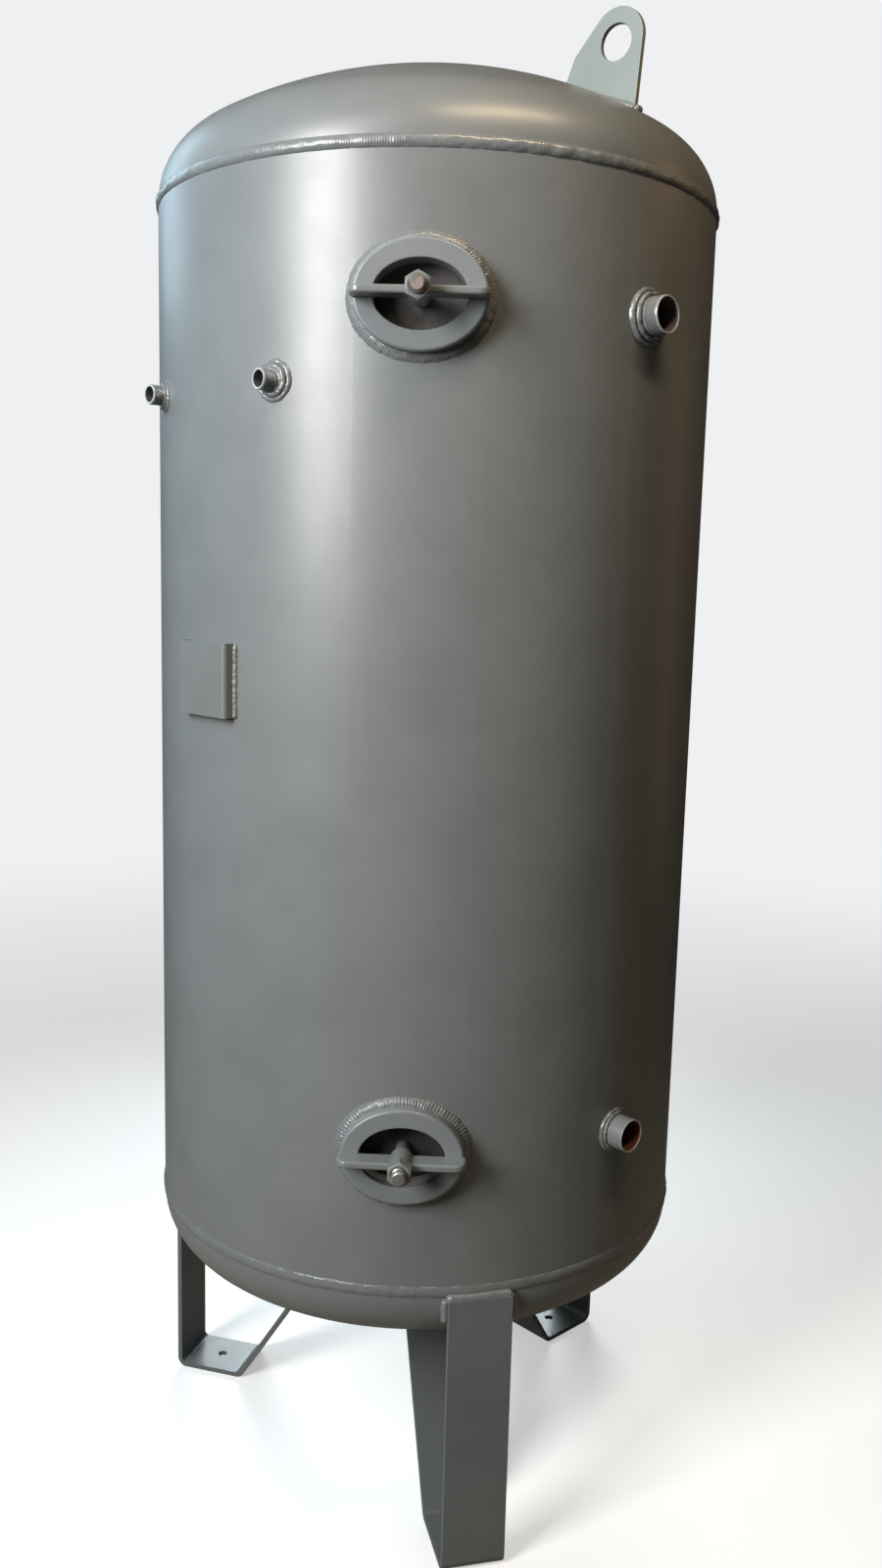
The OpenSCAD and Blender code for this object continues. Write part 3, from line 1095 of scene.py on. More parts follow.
@dataclass(frozen=True)
class Legs:
    """Three legs, each one flat bar bent to a post, a foot and a brace, with their welds."""

    vessel: Vessel
    azimuths: tuple[float, float, float] = (15.6, -104.4, 135.6)
    names: tuple[str, str, str] = ("front", "left", "rear")
    width: float = 90 * MM
    thickness: float = 8 * MM
    foot_length: float = 115 * MM
    brace_reach: float = 124 * MM
    bend_r: float = 8 * MM
    hole_d: float = 14 * MM
    hole_reach: float = 345 * MM
    brace_lap: float = 8 * MM
    bead_r: float = 6.5 * MM
    side_bead: float = 34 * MM

    @property
    def top(self) -> float:
        """Height of the posts' tops, just under the bottom seam's bead."""
        return self.vessel.bottom_seam - self.vessel.bead_width / 2 - 2 * MM

    @property
    def foot_end(self) -> float:
        """Distance from the vessel's axis at which a foot turns up to its brace."""
        return self.vessel.radius + self.thickness - self.foot_length

    def bar(self, name: str, azimuth: float) -> Piece:
        """Bend one bar and drill its foot.

        Args:
            name: Name of the piece.
            azimuth: Angle round the vessel.

        Returns:
            The bar, in place.
        """
        half = self.thickness / 2
        post = self.vessel.radius + half
        root = self.vessel.underside(self.brace_reach) + self.brace_lap
        path = [(post, self.top), (post, half), (self.foot_end, half), (self.brace_reach, root)]
        piece = folded(name, path, self.width, self.thickness, self.bend_r + half)
        down = Matrix.Rotation(-QUARTER_TURN, 4, "X")
        at = Matrix.Translation((self.hole_reach, 0, 0)) @ down
        drilled(piece, self.hole_d / 2, (-half, 3 * half), at, steps=40)
        ease(piece, 1.1 * MM)
        return put(piece, upright(azimuth))

    def welds(self, name: str, azimuth: float) -> Piece:
        """Lay the beads over a post's top, down its sides and along its brace's end.

        Args:
            name: Name of the piece.
            azimuth: Angle round the vessel.

        Returns:
            The beads, in place.
        """
        side = self.width / 2 + 2.5 * MM
        out = self.vessel.radius - 0.5 * MM
        sunk = out - 2.5 * MM
        foot = Vector((self.foot_end, self.thickness / 2, 0))
        root = Vector((self.brace_reach, self.vessel.underside(self.brace_reach), 0))
        rise = (root - foot).normalized()
        across = Vector((rise.y, -rise.x, 0)) * (self.thickness / 2 + 1.5 * MM)
        half = Vector((0, 0, self.width / 2 - 1 * MM))
        root = root - rise * 2.0 * MM
        top_r, side_r, brace_r = (self.bead_r * size for size in (1.15, 0.9, 0.8))
        runs = [(Vector((out, self.top, -side)), Vector((out, self.top, side)), top_r)]
        for z in (side, -side):
            low, high = Vector((sunk, self.top - self.side_bead, z)), Vector((sunk, self.top, z))
            runs.append((low, high, side_r))
        for offset in (across, -across):
            runs.append((root + offset - half, root + offset + half, brace_r))
        return laid(name, runs, upright(azimuth))

    def build(self) -> None:
        """Make and paint the three legs."""
        paint = Enamel(
            "leg_enamel", colour=(0.155, 0.168, 0.174), roughness=0.42, grit=0.3 * MM
        ).make()
        rippled = Enamel("leg_weld_enamel", roughness=0.26).make()
        for name, degrees in zip(self.names, self.azimuths):
            azimuth = math.radians(degrees)
            bar = self.bar(f"{name}_leg_bar", azimuth)
            settle(bar, paint, Slot.BRACKET, TANK, f"{name}_leg")
            welds = self.welds(f"{name}_leg_beads", azimuth)
            settle_weld(welds, rippled, f"{name}_leg_weld")


@dataclass(frozen=True)
class LiftingLugs:
    """Two plates with an eye, standing on the dome opposite each other, with their welds."""

    vessel: Vessel
    azimuth: float = math.radians(54)
    thickness: float = 8 * MM
    eye_reach: float = 293 * MM
    eye_rise: float = 190 * MM
    eye_d: float = 46 * MM
    round_r: float = 39 * MM
    inner_reach: float = 214 * MM
    outer_reach: float = 325 * MM
    lap: float = 3 * MM
    bead_r: float = 5 * MM

    @property
    def eye(self) -> Vector:
        """Middle of the eye, in distance from the axis and height."""
        return Vector((self.eye_reach, self.vessel.top_seam + self.eye_rise))

    def outline(self) -> list[Point]:
        """Outline of the plate, in distance from the axis and height.

        Returns:
            The outline, starting at the outer edge.
        """
        middle = self.eye + Vector((1, 4)) * MM
        knee = self.eye - Vector((63, 7)) * MM
        to_knee = knee - middle
        touch = math.atan2(to_knee.y, to_knee.x) - math.acos(self.round_r / to_knee.length)
        return [
            (self.outer_reach, self.vessel.dome(self.outer_reach) - self.lap),
            *arc(tuple(middle), self.round_r, 0.0, touch % FULL_TURN, 28),
            (knee.x, knee.y),
            (self.inner_reach, self.vessel.dome(self.inner_reach) - self.lap),
        ]

    def lug(self, name: str, azimuth: float) -> Piece:
        """Cut one lug and drill its eye.

        Args:
            name: Name of the piece.
            azimuth: Angle round the vessel.

        Returns:
            The lug, in place.
        """
        piece = plate(name, self.outline(), self.thickness)
        through = (-20 * MM, 20 * MM)
        drilled(piece, self.eye_d / 2, through, Matrix.Translation((*self.eye, 0)))
        ease(piece, 0.9 * MM, sharper_than=50.0)
        return put(piece, upright(azimuth))

    def welds(self, name: str, azimuth: float) -> Piece:
        """Lay the beads round a lug's foot.

        Args:
            name: Name of the piece.
            azimuth: Angle round the vessel.

        Returns:
            The beads, in place.
        """
        dome = self.vessel.dome
        inner = Vector((self.inner_reach - self.lap, dome(self.inner_reach), 0))
        outer = Vector((self.outer_reach + self.lap, dome(self.outer_reach), 0))
        across = Vector((0, 0, self.thickness / 2 + 1.5 * MM))
        ends = across * 1.4
        runs = [
            (inner + across, outer + across, self.bead_r),
            (inner - across, outer - across, self.bead_r),
            (inner - ends, inner + ends, self.bead_r),
            (outer - ends, outer + ends, self.bead_r),
        ]
        return laid(name, runs, upright(azimuth))

    def build(self) -> None:
        """Make and paint both lugs."""
        paint = Enamel(
            "lug_enamel", colour=(0.2, 0.225, 0.21), roughness=0.4, grit=0.05 * MM
        ).make()
        rippled = Enamel("lug_weld_enamel", roughness=0.28).make()
        for name, azimuth in (("front", self.azimuth), ("rear", self.azimuth + math.pi)):
            lug = self.lug(f"{name}_lug_plate", azimuth)
            settle(lug, paint, Slot.BRACKET, TANK, f"{name}_lug")
            beads = self.welds(f"{name}_lug_beads", azimuth)
            settle_weld(beads, rippled, f"{name}_lug_weld")


@dataclass(frozen=True)
class Stub:
    """One pipe stub of the vessel."""

    name: str
    azimuth: float
    height: float
    outside_d: float
    mouth: float
    sideways: float
    rise: float
    spread: float
    thread_length: float
    thread_pitch: float
    wall: float = 3.2 * MM
    root_depth: float = 16 * MM
    collar_depth: float = 7 * MM
    bore_colour: Colour = (0.14, 0.125, 0.12)

    @property
    def at(self) -> Matrix:
        """Frame of the pipe, with z along its axis and counted from the vessel's axis."""
        return outward(self.azimuth, self.height, self.sideways)

    def pipe(self, vessel: Vessel) -> Piece:
        """Turn the pipe, with its thread and the chamfers of its mouth.

        Args:
            vessel: The vessel.

        Returns:
            The pipe, in place.
        """
        radius = self.outside_d / 2
        bore = radius - self.wall
        root = math.sqrt(vessel.radius**2 - self.sideways**2) - self.root_depth
        profile = [(bore, root), (radius, root)]
        start = self.mouth - self.thread_length
        if self.thread_pitch:
            crest = radius - 0.15 * MM
            profile.append((radius, start - 0.5 * MM))
            profile += thread(crest, start, self.mouth - 1.0 * MM, self.thread_pitch)
        profile += [
            (radius - 0.8 * MM, self.mouth - 0.4 * MM),
            (radius - 1.2 * MM, self.mouth),
            (bore + 0.6 * MM, self.mouth),
            (bore, self.mouth - 0.8 * MM),
        ]
        return put(turned(f"{self.name}_pipe", profile, steps=72), self.at)

    def collar(self, vessel: Vessel) -> Piece:
        """Lay a weld of two runs round the pipe, square to the shell, and let the pipe through.

        Args:
            vessel: The vessel.

        Returns:
            The weld, in place.
        """
        radius, rise, spread = self.outside_d / 2, self.rise, self.spread
        inner = radius - 1.2 * MM
        profile = [(inner, -self.collar_depth), (radius + spread + 1 * MM, -self.collar_depth)]
        for middle, half, base, top in COLLAR_RUNS:
            for k in range(ARCH_STEPS - 1):
                angle = math.pi * k / ARCH_STEPS
                reach = middle + half * math.cos(angle)
                height = base + (top - base) * math.sin(max(angle, 0.2)) ** 0.7
                profile.append((radius + spread * reach, rise * height))
        profile.append((inner, rise))
        piece = turned(f"{self.name}_collar", profile, steps=160)
        roughen(piece, 8 * MM, 2.1 * MM)
        roughen(piece, 3 * MM, 0.4 * MM)
        lean = math.asin(self.sideways / vessel.radius)
        surface = Matrix.Translation((0, 0, vessel.radius))
        put(piece, outward(self.azimuth + lean, self.height) @ surface)
        if self.sideways:
            drilled(piece, radius - 0.6 * MM, (300 * MM, 500 * MM), self.at)
        return piece

    def build(self, vessel: Vessel, weld: bpy.types.Material) -> None:
        """Make and paint the pipe and its weld.

        Args:
            vessel: The vessel.
            weld: Finish of the weld.
        """
        paint = Enamel(
            f"{self.name}_pipe_enamel",
            colour=(0.2, 0.215, 0.223),
            roughness=0.3,
            peel_scale=500.0,
            peel=0.03 * MM,
            rim=self.mouth,
            centre=tuple(self.at.translation),
            axis=tuple(self.at.col[2].xyz),
            inside=self.bore_colour,
            inside_radius=self.outside_d / 2 - self.wall + 0.25 * MM,
        ).make()
        settle(self.pipe(vessel), paint, Slot.NIPPLE, TANK, f"{self.name}_nipple")
        settle_weld(self.collar(vessel), weld, f"{self.name}_weld")


@dataclass(frozen=True)
class Drain:
    """Threaded drain socket in the bottom head, with its weld."""

    vessel: Vessel
    outside_d: float = 42 * MM
    bore_d: float = 30.3 * MM
    thread_pitch: float = 2.31 * MM
    weld_rise: float = 6 * MM
    weld_spread: float = 6.5 * MM
    weld_depth: float = 3 * MM

    def socket(self) -> Piece:
        """Turn the socket, with the thread of its bore.

        Returns:
            The socket, in place.
        """
        low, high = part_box("drain_socket")
        outside, bore = self.outside_d / 2, self.bore_d / 2
        profile = [(bore, high.z), (outside, high.z), (outside, low.z + 1 * MM)]
        profile += [(outside - 1 * MM, low.z), (bore + 0.8 * MM, low.z)]
        profile += [
            (2 * bore - r + 0.3 * MM, z)
            for r, z in thread(bore, low.z + 1 * MM, high.z - 2 * MM, self.thread_pitch)
        ]
        return turned("drain_socket_body", profile, steps=64)

    def collar(self) -> Piece:
        """Lay the weld round the socket.

        Returns:
            The weld, in place.
        """
        base, outside = self.vessel.underside(0), self.outside_d / 2
        inner, edge = outside - 1 * MM, outside + self.weld_spread
        profile = [
            (inner, base + self.weld_depth),
            (inner, base - self.weld_rise),
            (outside + 2.5 * MM, base - self.weld_rise + 1.5 * MM),
            (edge, base + 0.6 * MM),
            (edge, base + self.weld_depth),
        ]
        piece = turned("drain_collar", profile, steps=120)
        roughen(piece, 6 * MM, 0.9 * MM)
        return piece

    def build(self) -> None:
        """Make and paint the socket and its weld."""
        paint = Enamel("drain_enamel", colour=(0.15, 0.165, 0.17)).make()
        settle(self.socket(), paint, Slot.NIPPLE, TANK, "drain_socket")
        weld = Enamel("drain_weld_enamel", roughness=0.28).make()
        settle_weld(self.collar(), weld, "drain_weld")


@dataclass(frozen=True)
class PlateBracket:
    """Blank bent bracket for a data plate, welded down its two sides."""

    vessel: Vessel
    azimuth: float = math.radians(-44)
    width: float = 106 * MM
    height: float = 98 * MM
    rise: float = 14 * MM
    sheet: float = 3 * MM
    bend_r: float = 3 * MM
    root_depth: float = 6 * MM
    bead_r: float = 4.2 * MM
    bead_pitch: float = 4 * MM
    spatter: float = 2.6 * MM

    @property
    def middle(self) -> float:
        """Height of the bracket's middle."""
        low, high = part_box("plate_bracket")
        return (low.z + high.z) / 2

    def plate(self) -> Piece:
        """Bend the sheet and stand it on the shell.

        Returns:
            The bracket, in place.
        """
        edge = self.width / 2 - self.sheet / 2
        face = self.vessel.radius + self.rise - self.sheet / 2
        root = self.vessel.radius - self.root_depth
        path = [(-edge, root), (-edge, face), (edge, face), (edge, root)]
        middle_r = self.bend_r + self.sheet / 2
        piece = folded("data_plate_bracket", path, self.height, self.sheet, middle_r)
        ease(piece, 0.6 * MM, sharper_than=50.0)
        out = outward(self.azimuth, self.middle).to_3x3()
        turn = Matrix((out.col[0], out.col[2], -out.col[1])).transposed().to_4x4()
        return put(piece, Matrix.Translation((0, 0, self.middle)) @ turn)

    def beads(self) -> Piece:
        """Lay a spattered bead down each side.

        Returns:
            The beads, in place.
        """
        beads = []
        for index, side in enumerate((-1, 1)):
            x = side * (self.width / 2 + 1 * MM)
            surface = math.sqrt(self.vessel.radius**2 - x**2)
            run = bead(f"bracket_bead_{index}", self.height, self.bead_r, self.bead_pitch)
            roughen(run, 5 * MM, self.spatter)
            start = Vector((x, -self.height / 2, surface - 0.5 * MM))
            end = start + Vector((0, self.height, 0))
            beads.append(put(run, outward(self.azimuth, self.middle) @ along(start, end)))
        return joined("bracket_beads", beads)

    def build(self) -> None:
        """Make and paint the bracket and its beads."""
        paint = Enamel("bracket_enamel", colour=(0.178, 0.19, 0.187), roughness=0.4).make()
        settle(self.plate(), paint, Slot.BRACKET, TANK, "plate_bracket")
        weld = Enamel("bracket_weld_enamel", roughness=0.26, grit=0.3 * MM).make()
        settle_weld(self.beads(), weld, "plate_bracket_weld")


@dataclass(frozen=True)
class Handhole:
    """Oval handhole: ring, inside cover, stud, crossbar and nut."""

    vessel: Vessel
    prefix: str
    cover_colour_and_shade: Colour
    cover_oxide_and_shade: Colour
    stud_colour: Colour
    ripple_pitch: float
    ripple_depth: float
    half_opening: Point = (57 * MM, 41 * MM)
    ring_width: float = 24.5 * MM
    ring_face: float = 420 * MM
    ring_back: float = 388 * MM
    bar_length: float = 168 * MM
    bar_depth: float = 28 * MM
    bar_thickness: float = 10 * MM
    bar_corner_r: float = 14 * MM
    boss_r: float = 15 * MM
    boss_front: float = 455 * MM
    nut_front: float = 471 * MM
    nut_af: float = 30 * MM
    stud_r: float = 10 * MM
    stud_tip: float = 483 * MM
    thread_from: float = 420 * MM
    thread_pitch: float = 2.5 * MM
    cover_face: float = 384 * MM

    @property
    def height(self) -> float:
        """Height of the handhole's middle."""
        low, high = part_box(f"{self.prefix}_ring")
        return (low.z + high.z) / 2

    @property
    def at(self) -> Matrix:
        """Frame of the stud, with z along its axis and counted from the vessel's axis."""
        return outward(0, self.height)

    def ring(self) -> Piece:
        """Form the oval ring, well rounded outside and eased inside.

        Returns:
            The ring, in place.
        """
        face, back, wide = self.ring_face, self.ring_back, self.ring_width
        stations = [(0, back), (wide, back), (wide, face), (0, face)]
        piece = oval_stack(f"{self.prefix}_handhole_ring", self.half_opening, stations)
        rx, rz = (half + wide for half in self.half_opening)

        def outer(at: Vector) -> float:
            """How far out on the ring's oval a point lies; one is its outer edge."""
            return math.hypot(at.x / rx, at.z / rz)

        def in_front(at: Vector) -> bool:
            """Whether a point lies on the ring's face."""
            return at.y < 0.1 * MM - face

        with editing(piece, Part.EDGE):
            pick(
                piece,
                Part.EDGE,
                lambda at, edge: in_front(at)
                and level(edge, "y")
                and all(outer(v.co) > 0.97 for v in edge.verts),
            )
            bpy.ops.mesh.bevel(offset=4.2 * MM, segments=5, affect="EDGES")
        with editing(piece, Part.EDGE):
            pick(
                piece,
                Part.EDGE,
                lambda at, edge: in_front(at) and all(outer(v.co) < 0.75 for v in edge.verts),
            )
            bpy.ops.mesh.bevel(offset=1.6 * MM, segments=3, affect="EDGES")
        roughen(piece, 40 * MM, 0.5 * MM)
        return put(piece, Matrix.Translation((0, 0, self.height)))

    def ring_bead(self) -> Piece:
        """Lay the weld round the ring and bend it round the shell.

        Returns:
            The weld, in place.
        """
        wide, radius, root = self.ring_width, self.vessel.radius, -5 * MM
        section = [
            (-1.0, 7.0),
            (0.6, 6.6),
            (3.2, 6.0),
            (6.0, 4.8),
            (8.4, 2.9),
            (10.2, 1.0),
            (11.4, -1.0),
        ]
        crest = [(wide + x * MM, y * MM) for x, y in section]
        stations = [(crest[0][0], root), *crest, (crest[-1][0], root)]
        piece = oval_stack(f"{self.prefix}_ring_bead", self.half_opening, stations, points=300)
        bend = 2 * (self.half_opening[0] + crest[-1][0]) / radius
        change(piece, "SIMPLE_DEFORM", deform_method="BEND", deform_axis="Z", angle=bend)
        roughen(piece, 8 * MM, 1.8 * MM)
        roughen(piece, 3 * MM, 0.7 * MM)
        return put(piece, Matrix.Translation((0, -radius, self.height)))

    def crossbar(self) -> Piece:
        """Cut the bar, round its front, and add the boss that the stud passes through.

        Returns:
            The crossbar, in place.
        """
        half, corner = self.bar_length / 2, self.bar_corner_r
        front = self.ring_face + self.bar_depth
        low, high = (corner - half, front - corner), (half - corner, front - corner)
        outline = [
            (-half, self.ring_face),
            *arc(low, corner, math.pi, -QUARTER_TURN, 8),
            *arc(high, corner, QUARTER_TURN, -QUARTER_TURN, 8),
            (half, self.ring_face),
        ]
        piece = plate(f"{self.prefix}_clamp_bar", outline, self.bar_thickness)
        with editing(piece, Part.EDGE):
            pick(
                piece,
                Part.EDGE,
                lambda at, edge: level(edge, "z") and at.y > self.ring_face + 0.5 * MM,
            )
            bpy.ops.mesh.bevel(offset=3.2 * MM, segments=4, affect="EDGES")
        put(piece, Matrix.Rotation(math.pi, 4, "Z"))
        put(piece, Matrix.Translation((0, 0, self.height)))
        back, tip, r = self.ring_face, self.boss_front, self.boss_r
        profile = [(0, back), (r, back), (r, tip - 1.5 * MM), (r - 0.5 * MM, tip - 0.5 * MM)]
        profile += [(r - 1.5 * MM, tip), (0, tip)]
        boss = turned("boss", profile, closed=False)
        combine(piece, put(boss, self.at), "UNION")
        return drilled(piece, self.stud_r + 0.5 * MM, (400 * MM, 480 * MM), self.at)

    def nut(self) -> Piece:
        """Cut a hexagon nut with chamfered corners, one corner down.

        Returns:
            The nut, in place.
        """
        low, tip = self.boss_front, self.nut_front
        corner = self.nut_af / math.sqrt(3)
        deselect_all()
        bpy.ops.mesh.primitive_cylinder_add(
            vertices=6, radius=corner, depth=tip - low, location=(0, 0, (low + tip) / 2)
        )
        piece = named(f"{self.prefix}_clamp_nut")
        bpy.ops.object.transform_apply(location=True, rotation=True, scale=True)
        profile = [(0, low - MM), (corner + MM, low - MM), (corner + MM, tip - 3.4 * MM)]
        profile += [(self.nut_af / 2 - 1 * MM, tip + 0.1 * MM), (0, tip + 0.1 * MM)]
        combine(piece, turned("chamfer", profile, steps=72, closed=False), "INTERSECT")
        bore, start, end = self.stud_r + 0.05 * MM, 400 * MM, tip + 0.2 * MM
        profile = [(0, start), (bore, start), (bore, tip - 1.2 * MM), (bore + 1.4 * MM, end)]
        profile += [(0, end)]
        combine(piece, turned("drill", profile, closed=False), "DIFFERENCE")
        ease(piece, 0.7 * MM, 3, sharper_than=25.0)
        return put(piece, self.at)

    def stud(self) -> Piece:
        """Turn the threaded stud, with a chamfered end.

        Returns:
            The stud, in place.
        """
        r, tip = self.stud_r, self.stud_tip
        profile = [(0, self.cover_face), (r, self.cover_face), (r, self.thread_from - 2 * MM)]
        profile += thread(r, self.thread_from, tip - 3.2 * MM, self.thread_pitch)
        profile += [(r - 0.3 * MM, tip - 2.4 * MM), (r - 2.0 * MM, tip - 0.4 * MM)]
        profile += [(r - 2.6 * MM, tip), (0, tip)]
        return put(turned(f"{self.prefix}_clamp_stud", profile, closed=False), self.at)

    def build(self) -> None:
        """Make and paint all the pieces of one handhole."""
        p = self.prefix
        ring_paint = Enamel(
            f"{p}_ring_enamel", colour=(0.21, 0.228, 0.235), roughness=0.36, peel=0.04 * MM
        ).make()
        bar_paint = Enamel(
            f"{p}_clamp_enamel", colour=(0.2, 0.215, 0.215), roughness=0.3, peel=0.03 * MM
        ).make()
        weld = Enamel(
            f"{p}_ring_weld_enamel",
            roughness=0.22,
            ripple=Ripple.ROUND_HANDHOLE,
            ripple_pitch=self.ripple_pitch,
            ripple_depth=self.ripple_depth,
            centre=(0.0, -self.vessel.radius, self.height),
        ).make()
        steel = RawSteel(
            f"{p}_stud_steel",
            self.stud_colour,
            tinted(self.stud_colour, 0.5)[:3],
            roughness=0.28,
            metallic=0.9,
            painted_behind=-self.nut_front,
        ).make()
        cover = RawSteel(
            f"{p}_cover_steel",
            self.cover_colour_and_shade,
            self.cover_oxide_and_shade,
            roughness=0.5,
            metallic=0.15,
            mottle=40.0,
            pitting=0.2 * MM,
        ).make()
        settle(self.ring(), ring_paint, Slot.FITTING, TANK, f"{p}_ring")
        settle_weld(self.ring_bead(), weld, f"{p}_ring_weld")
        settle(self.crossbar(), bar_paint, Slot.FITTING, f"{p}_bridge", f"{p}_crossbar")
        settle(self.nut(), bar_paint, Slot.FITTING, f"{p}_clamp", f"{p}_nut")
        settle(self.stud(), steel, Slot.BARE, f"{p}_closure", f"{p}_stud", degrees=30.0)
        # The cover's colours are partly its own dark steel and oxide and partly painted shade of
        # the recess it sits in.
        coat(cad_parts[f"{p}_cover"], cover)
        coat(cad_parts[f"{p}_gasket"], BlackRubber(f"{p}_gasket_rubber").make())


# ---------- Studio ----------


@dataclass(frozen=True)
class Lamp:
    """A soft rectangular lamp that looks at a height on the vessel's axis."""

    name: str
    azimuth: float
    distance: float
    height: float
    size: Point
    power: float
    colour: Colour = (1.0, 1.0, 1.0)
    look_at: float = 1.3
    spread: float = 180.0
    mirrored: bool = True

    def place(self) -> None:
        """Hang the lamp."""
        data = bpy.data.lights.new(self.name, "AREA")
        data.shape = "RECTANGLE"
        data.size, data.size_y = self.size
        data.energy = self.power
        data.color = self.colour
        data.spread = math.radians(self.spread)
        lamp = bpy.data.objects.new(self.name, data)
        bpy.context.scene.collection.objects.link(lamp)
        lamp.visible_camera = False
        lamp.visible_glossy = self.mirrored
        angle = math.radians(self.azimuth)
        lamp.location = (
            self.distance * math.sin(angle),
            -self.distance * math.cos(angle),
            self.height,
        )
        towards = Vector((0, 0, self.look_at)) - lamp.location
        lamp.rotation_euler = towards.to_track_quat("-Z", "Y").to_euler()


@dataclass(frozen=True)
class Studio:
    """Pale floor, soft lamps, surroundings and the camera."""

    top_seam: float
    azimuth: float = math.radians(2.6)
    distance: float = 2.0755
    below_seam: float = 0.4962
    pitch: float = 0.157
    yaw: float = 0.012
    roll: float = 0.0252
    lens: float = 31.0
    sensor: float = 36.0
    floor_r: float = 9.0
    given: tuple[Colour, float] = ((0.97, 0.97, 1.0), 0.022)
    seen: tuple[Colour, float] = ((0.86, 0.87, 0.88), 1.0)

    def camera(self) -> None:
        """Set the camera at its place and aim."""
        turn = Matrix.Rotation(self.azimuth, 3, "Z")
        level = math.cos(self.pitch)
        forward = turn @ Vector(
            (math.sin(self.yaw) * level, math.cos(self.yaw) * level, -math.sin(self.pitch))
        )
        right = turn @ Vector((math.cos(self.yaw), -math.sin(self.yaw), 0))
        up = right.cross(forward)
        across = math.cos(self.roll) * right + math.sin(self.roll) * up
        above = math.cos(self.roll) * up - math.sin(self.roll) * right
        data = bpy.data.cameras.new("camera")
        data.lens, data.sensor_width = self.lens, self.sensor
        camera = bpy.data.objects.new("camera", data)
        bpy.context.scene.collection.objects.link(camera)
        matrix = Matrix((across, above, -forward)).transposed().to_4x4()
        spot = turn @ Vector((0, -self.distance, 0))
        matrix.translation = spot + Vector((0, 0, self.top_seam - self.below_seam))
        camera.matrix_world = matrix
        bpy.context.scene.camera = camera

    def floor(self) -> None:
        """Lay a pale floor that fades out far from the tank."""
        deselect_all()
        bpy.ops.mesh.primitive_circle_add(vertices=96, radius=self.floor_r, fill_type="NGON")
        piece = named("studio_floor")
        shade = Shade("pale_floor")
        place = shade.place()
        fade = shade.ramp(shade.vector("LENGTH", place), 0.9, 4.6, 0.0, 1.0)
        mottle = shade.noise(place, 3.0, 5.0)
        colour = shade.blend(mottle, (0.8, 0.8, 0.79, 1), (0.86, 0.86, 0.85, 1))
        seen = shade.add("ShaderNodeLightPath", output="Is Camera Ray")
        colour = shade.blend(seen, (0.26, 0.22, 0.165, 1), colour)
        glow = shade.blend(seen, (0, 0, 0, 1), (0.45, 0.45, 0.45, 1))
        pale = shade.principled(
            {
                "Base Color": colour,
                "Roughness": 0.75,
                "Emission Color": glow,
                "Emission Strength": 1.0,
            }
        )
        clear = shade.add("ShaderNodeBsdfTransparent")
        both = shade.add("ShaderNodeMixShader", None, {0: fade, 1: pale, 2: clear})
        coat(piece, shade.finish(both))

    def surroundings(self) -> None:
        """Make the backdrop pale, and dim the light that it gives."""
        world = bpy.data.worlds.new("studio")
        world.use_nodes = True
        nodes, links = world.node_tree.nodes, world.node_tree.links
        nodes.clear()
        ray = nodes.new("ShaderNodeLightPath")
        mix = nodes.new("ShaderNodeMixShader")
        out = nodes.new("ShaderNodeOutputWorld")
        links.new(ray.outputs["Is Camera Ray"], mix.inputs[0])
        for socket, (colour, strength) in enumerate((self.given, self.seen), start=1):
            sky = nodes.new("ShaderNodeBackground")
            sky.inputs["Color"].default_value = tinted(colour)
            sky.inputs["Strength"].default_value = strength
            links.new(sky.outputs[0], mix.inputs[socket])
        links.new(mix.outputs[0], out.inputs["Surface"])
        bpy.context.scene.world = world
        bpy.context.scene.view_settings.view_transform = "Standard"

    def build(self) -> None:
        """Set up the whole studio."""
        self.camera()
        self.floor()
        self.surroundings()
        for lamp in (
            Lamp("key", -39.5, 3.3, 2.5, (1.15, 1.9), 58.0, (1.0, 0.99, 0.975), 1.65, 110.0),
            Lamp("front_top", -30, 2.3, 3.5, (1.3, 0.35), 3.0, (1.0, 0.93, 0.95), 1.6, 110.0),
            Lamp("cool_top", -80, 2.6, 3.1, (1.6, 1.2), 8.5, (0.25, 0.68, 1.0), 1.9, 80.0, False),
            Lamp("cool_side", -124, 2.6, 2.8, (1.1, 1.3), 4.0, (0.6, 0.85, 1.0), 1.75, 100.0),
            Lamp("warm_rim", 112, 2.6, 1.3, (0.25, 1.6), 0.22, (1.0, 0.62, 0.36), 1.2, 100.0),
            Lamp("warm_high", 98, 2.2, 2.6, (0.3, 0.4), 0.25, (1.0, 0.5, 0.2), 1.9, 90.0),
            Lamp("overhead", 30, 1.5, 3.6, (1.4, 0.22), 8.5, (1.0, 0.78, 0.5), 1.9, 90.0),
            Lamp("low_back", -176, 2.8, 1.6, (1.6, 0.5), 5.5, (0.84, 0.95, 1.0), 0.0, 55.0),
        ):
            lamp.place()


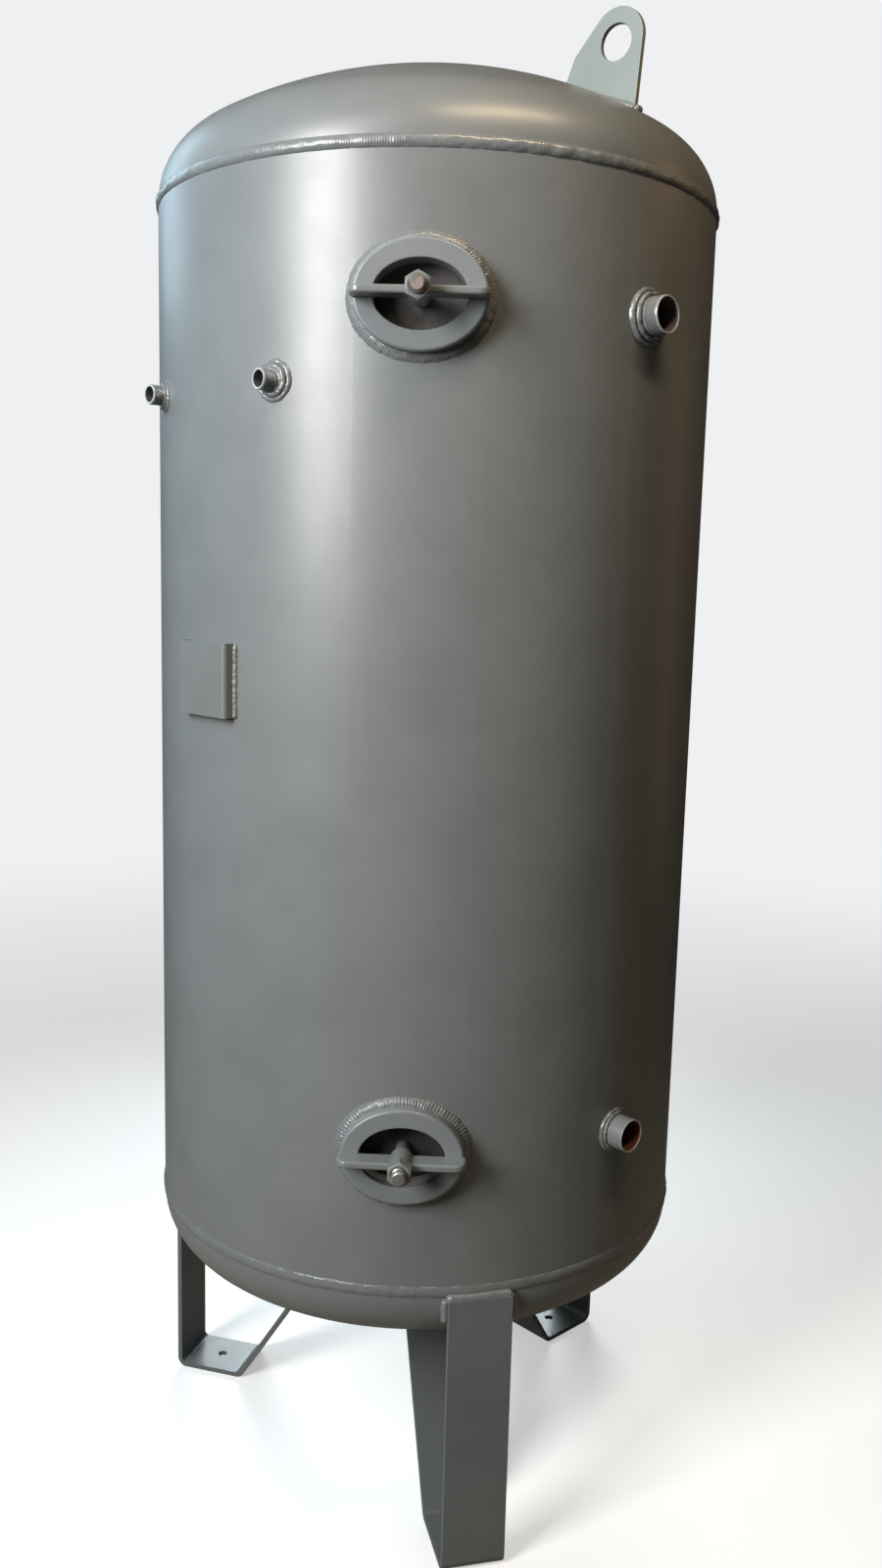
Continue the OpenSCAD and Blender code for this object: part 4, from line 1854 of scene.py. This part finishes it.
def pipe_stubs() -> list[Stub]:
    """List the two large nipples on the right and the two small ones on the left.

    Returns:
        The four stubs.
    """
    large, small = 48.3 * MM, 26.9 * MM
    pair = math.radians(-44)
    return [
        Stub(
            "outlet",
            math.radians(45),
            height=1691 * MM,
            outside_d=large,
            mouth=431 * MM,
            sideways=0.0,
            rise=9 * MM,
            spread=12 * MM,
            thread_length=18 * MM,
            thread_pitch=2.31 * MM,
        ),
        Stub(
            "inlet",
            math.radians(46),
            height=603 * MM,
            outside_d=large,
            mouth=431 * MM,
            sideways=0.0,
            rise=7 * MM,
            spread=7 * MM,
            thread_length=18 * MM,
            thread_pitch=0.0,
            bore_colour=(0.2, 0.06, 0.03),
        ),
        Stub(
            "gauge",
            pair,
            height=1594 * MM,
            outside_d=small,
            mouth=407 * MM,
            sideways=116 * MM,
            rise=7 * MM,
            spread=13 * MM,
            thread_length=17 * MM,
            thread_pitch=1.81 * MM,
        ),
        Stub(
            "valve",
            pair,
            height=1594 * MM,
            outside_d=small,
            mouth=403 * MM,
            sideways=-137 * MM,
            rise=8 * MM,
            spread=8 * MM,
            thread_length=16 * MM,
            thread_pitch=1.81 * MM,
        ),
    ]


def handholes(vessel: Vessel) -> list[Handhole]:
    """The upper and the lower handhole, which differ in the colour of their steel; the covers'
    dark colours include painted shade of their recess, the lower cover's most.
    """
    return [
        Handhole(
            vessel,
            "upper",
            cover_colour_and_shade=(0.095, 0.088, 0.085),
            cover_oxide_and_shade=(0.06, 0.056, 0.054),
            stud_colour=(0.5, 0.43, 0.385),
            ripple_pitch=3.6 * MM,
            ripple_depth=0.12 * MM,
        ),
        Handhole(
            vessel,
            "lower",
            # The lower cover is darker still: painted shade of its recess.
            cover_colour_and_shade=(0.045, 0.042, 0.04),
            cover_oxide_and_shade=(0.02, 0.019, 0.02),
            stud_colour=(0.44, 0.42, 0.405),
            ripple_pitch=4.4 * MM,
            ripple_depth=0.28 * MM,
        ),
    ]


def main() -> None:
    """Build the tank piece by piece."""
    logging.basicConfig(level=logging.INFO, format="%(name)s: %(message)s")
    vessel = Vessel()
    Studio(vessel.top_seam).build()
    vessel.dress(vessel.build())
    Legs(vessel).build()
    LiftingLugs(vessel).build()
    collar_paint = Enamel(
        "collar_enamel", roughness=0.18, peel=0.04 * MM, peel_scale=260.0
    ).make()
    for stub in pipe_stubs():
        stub.build(vessel, collar_paint)
    Drain(vessel).build()
    PlateBracket(vessel).build()
    for handhole in handholes(vessel):
        handhole.build()


if __name__ == "__main__":
    main()
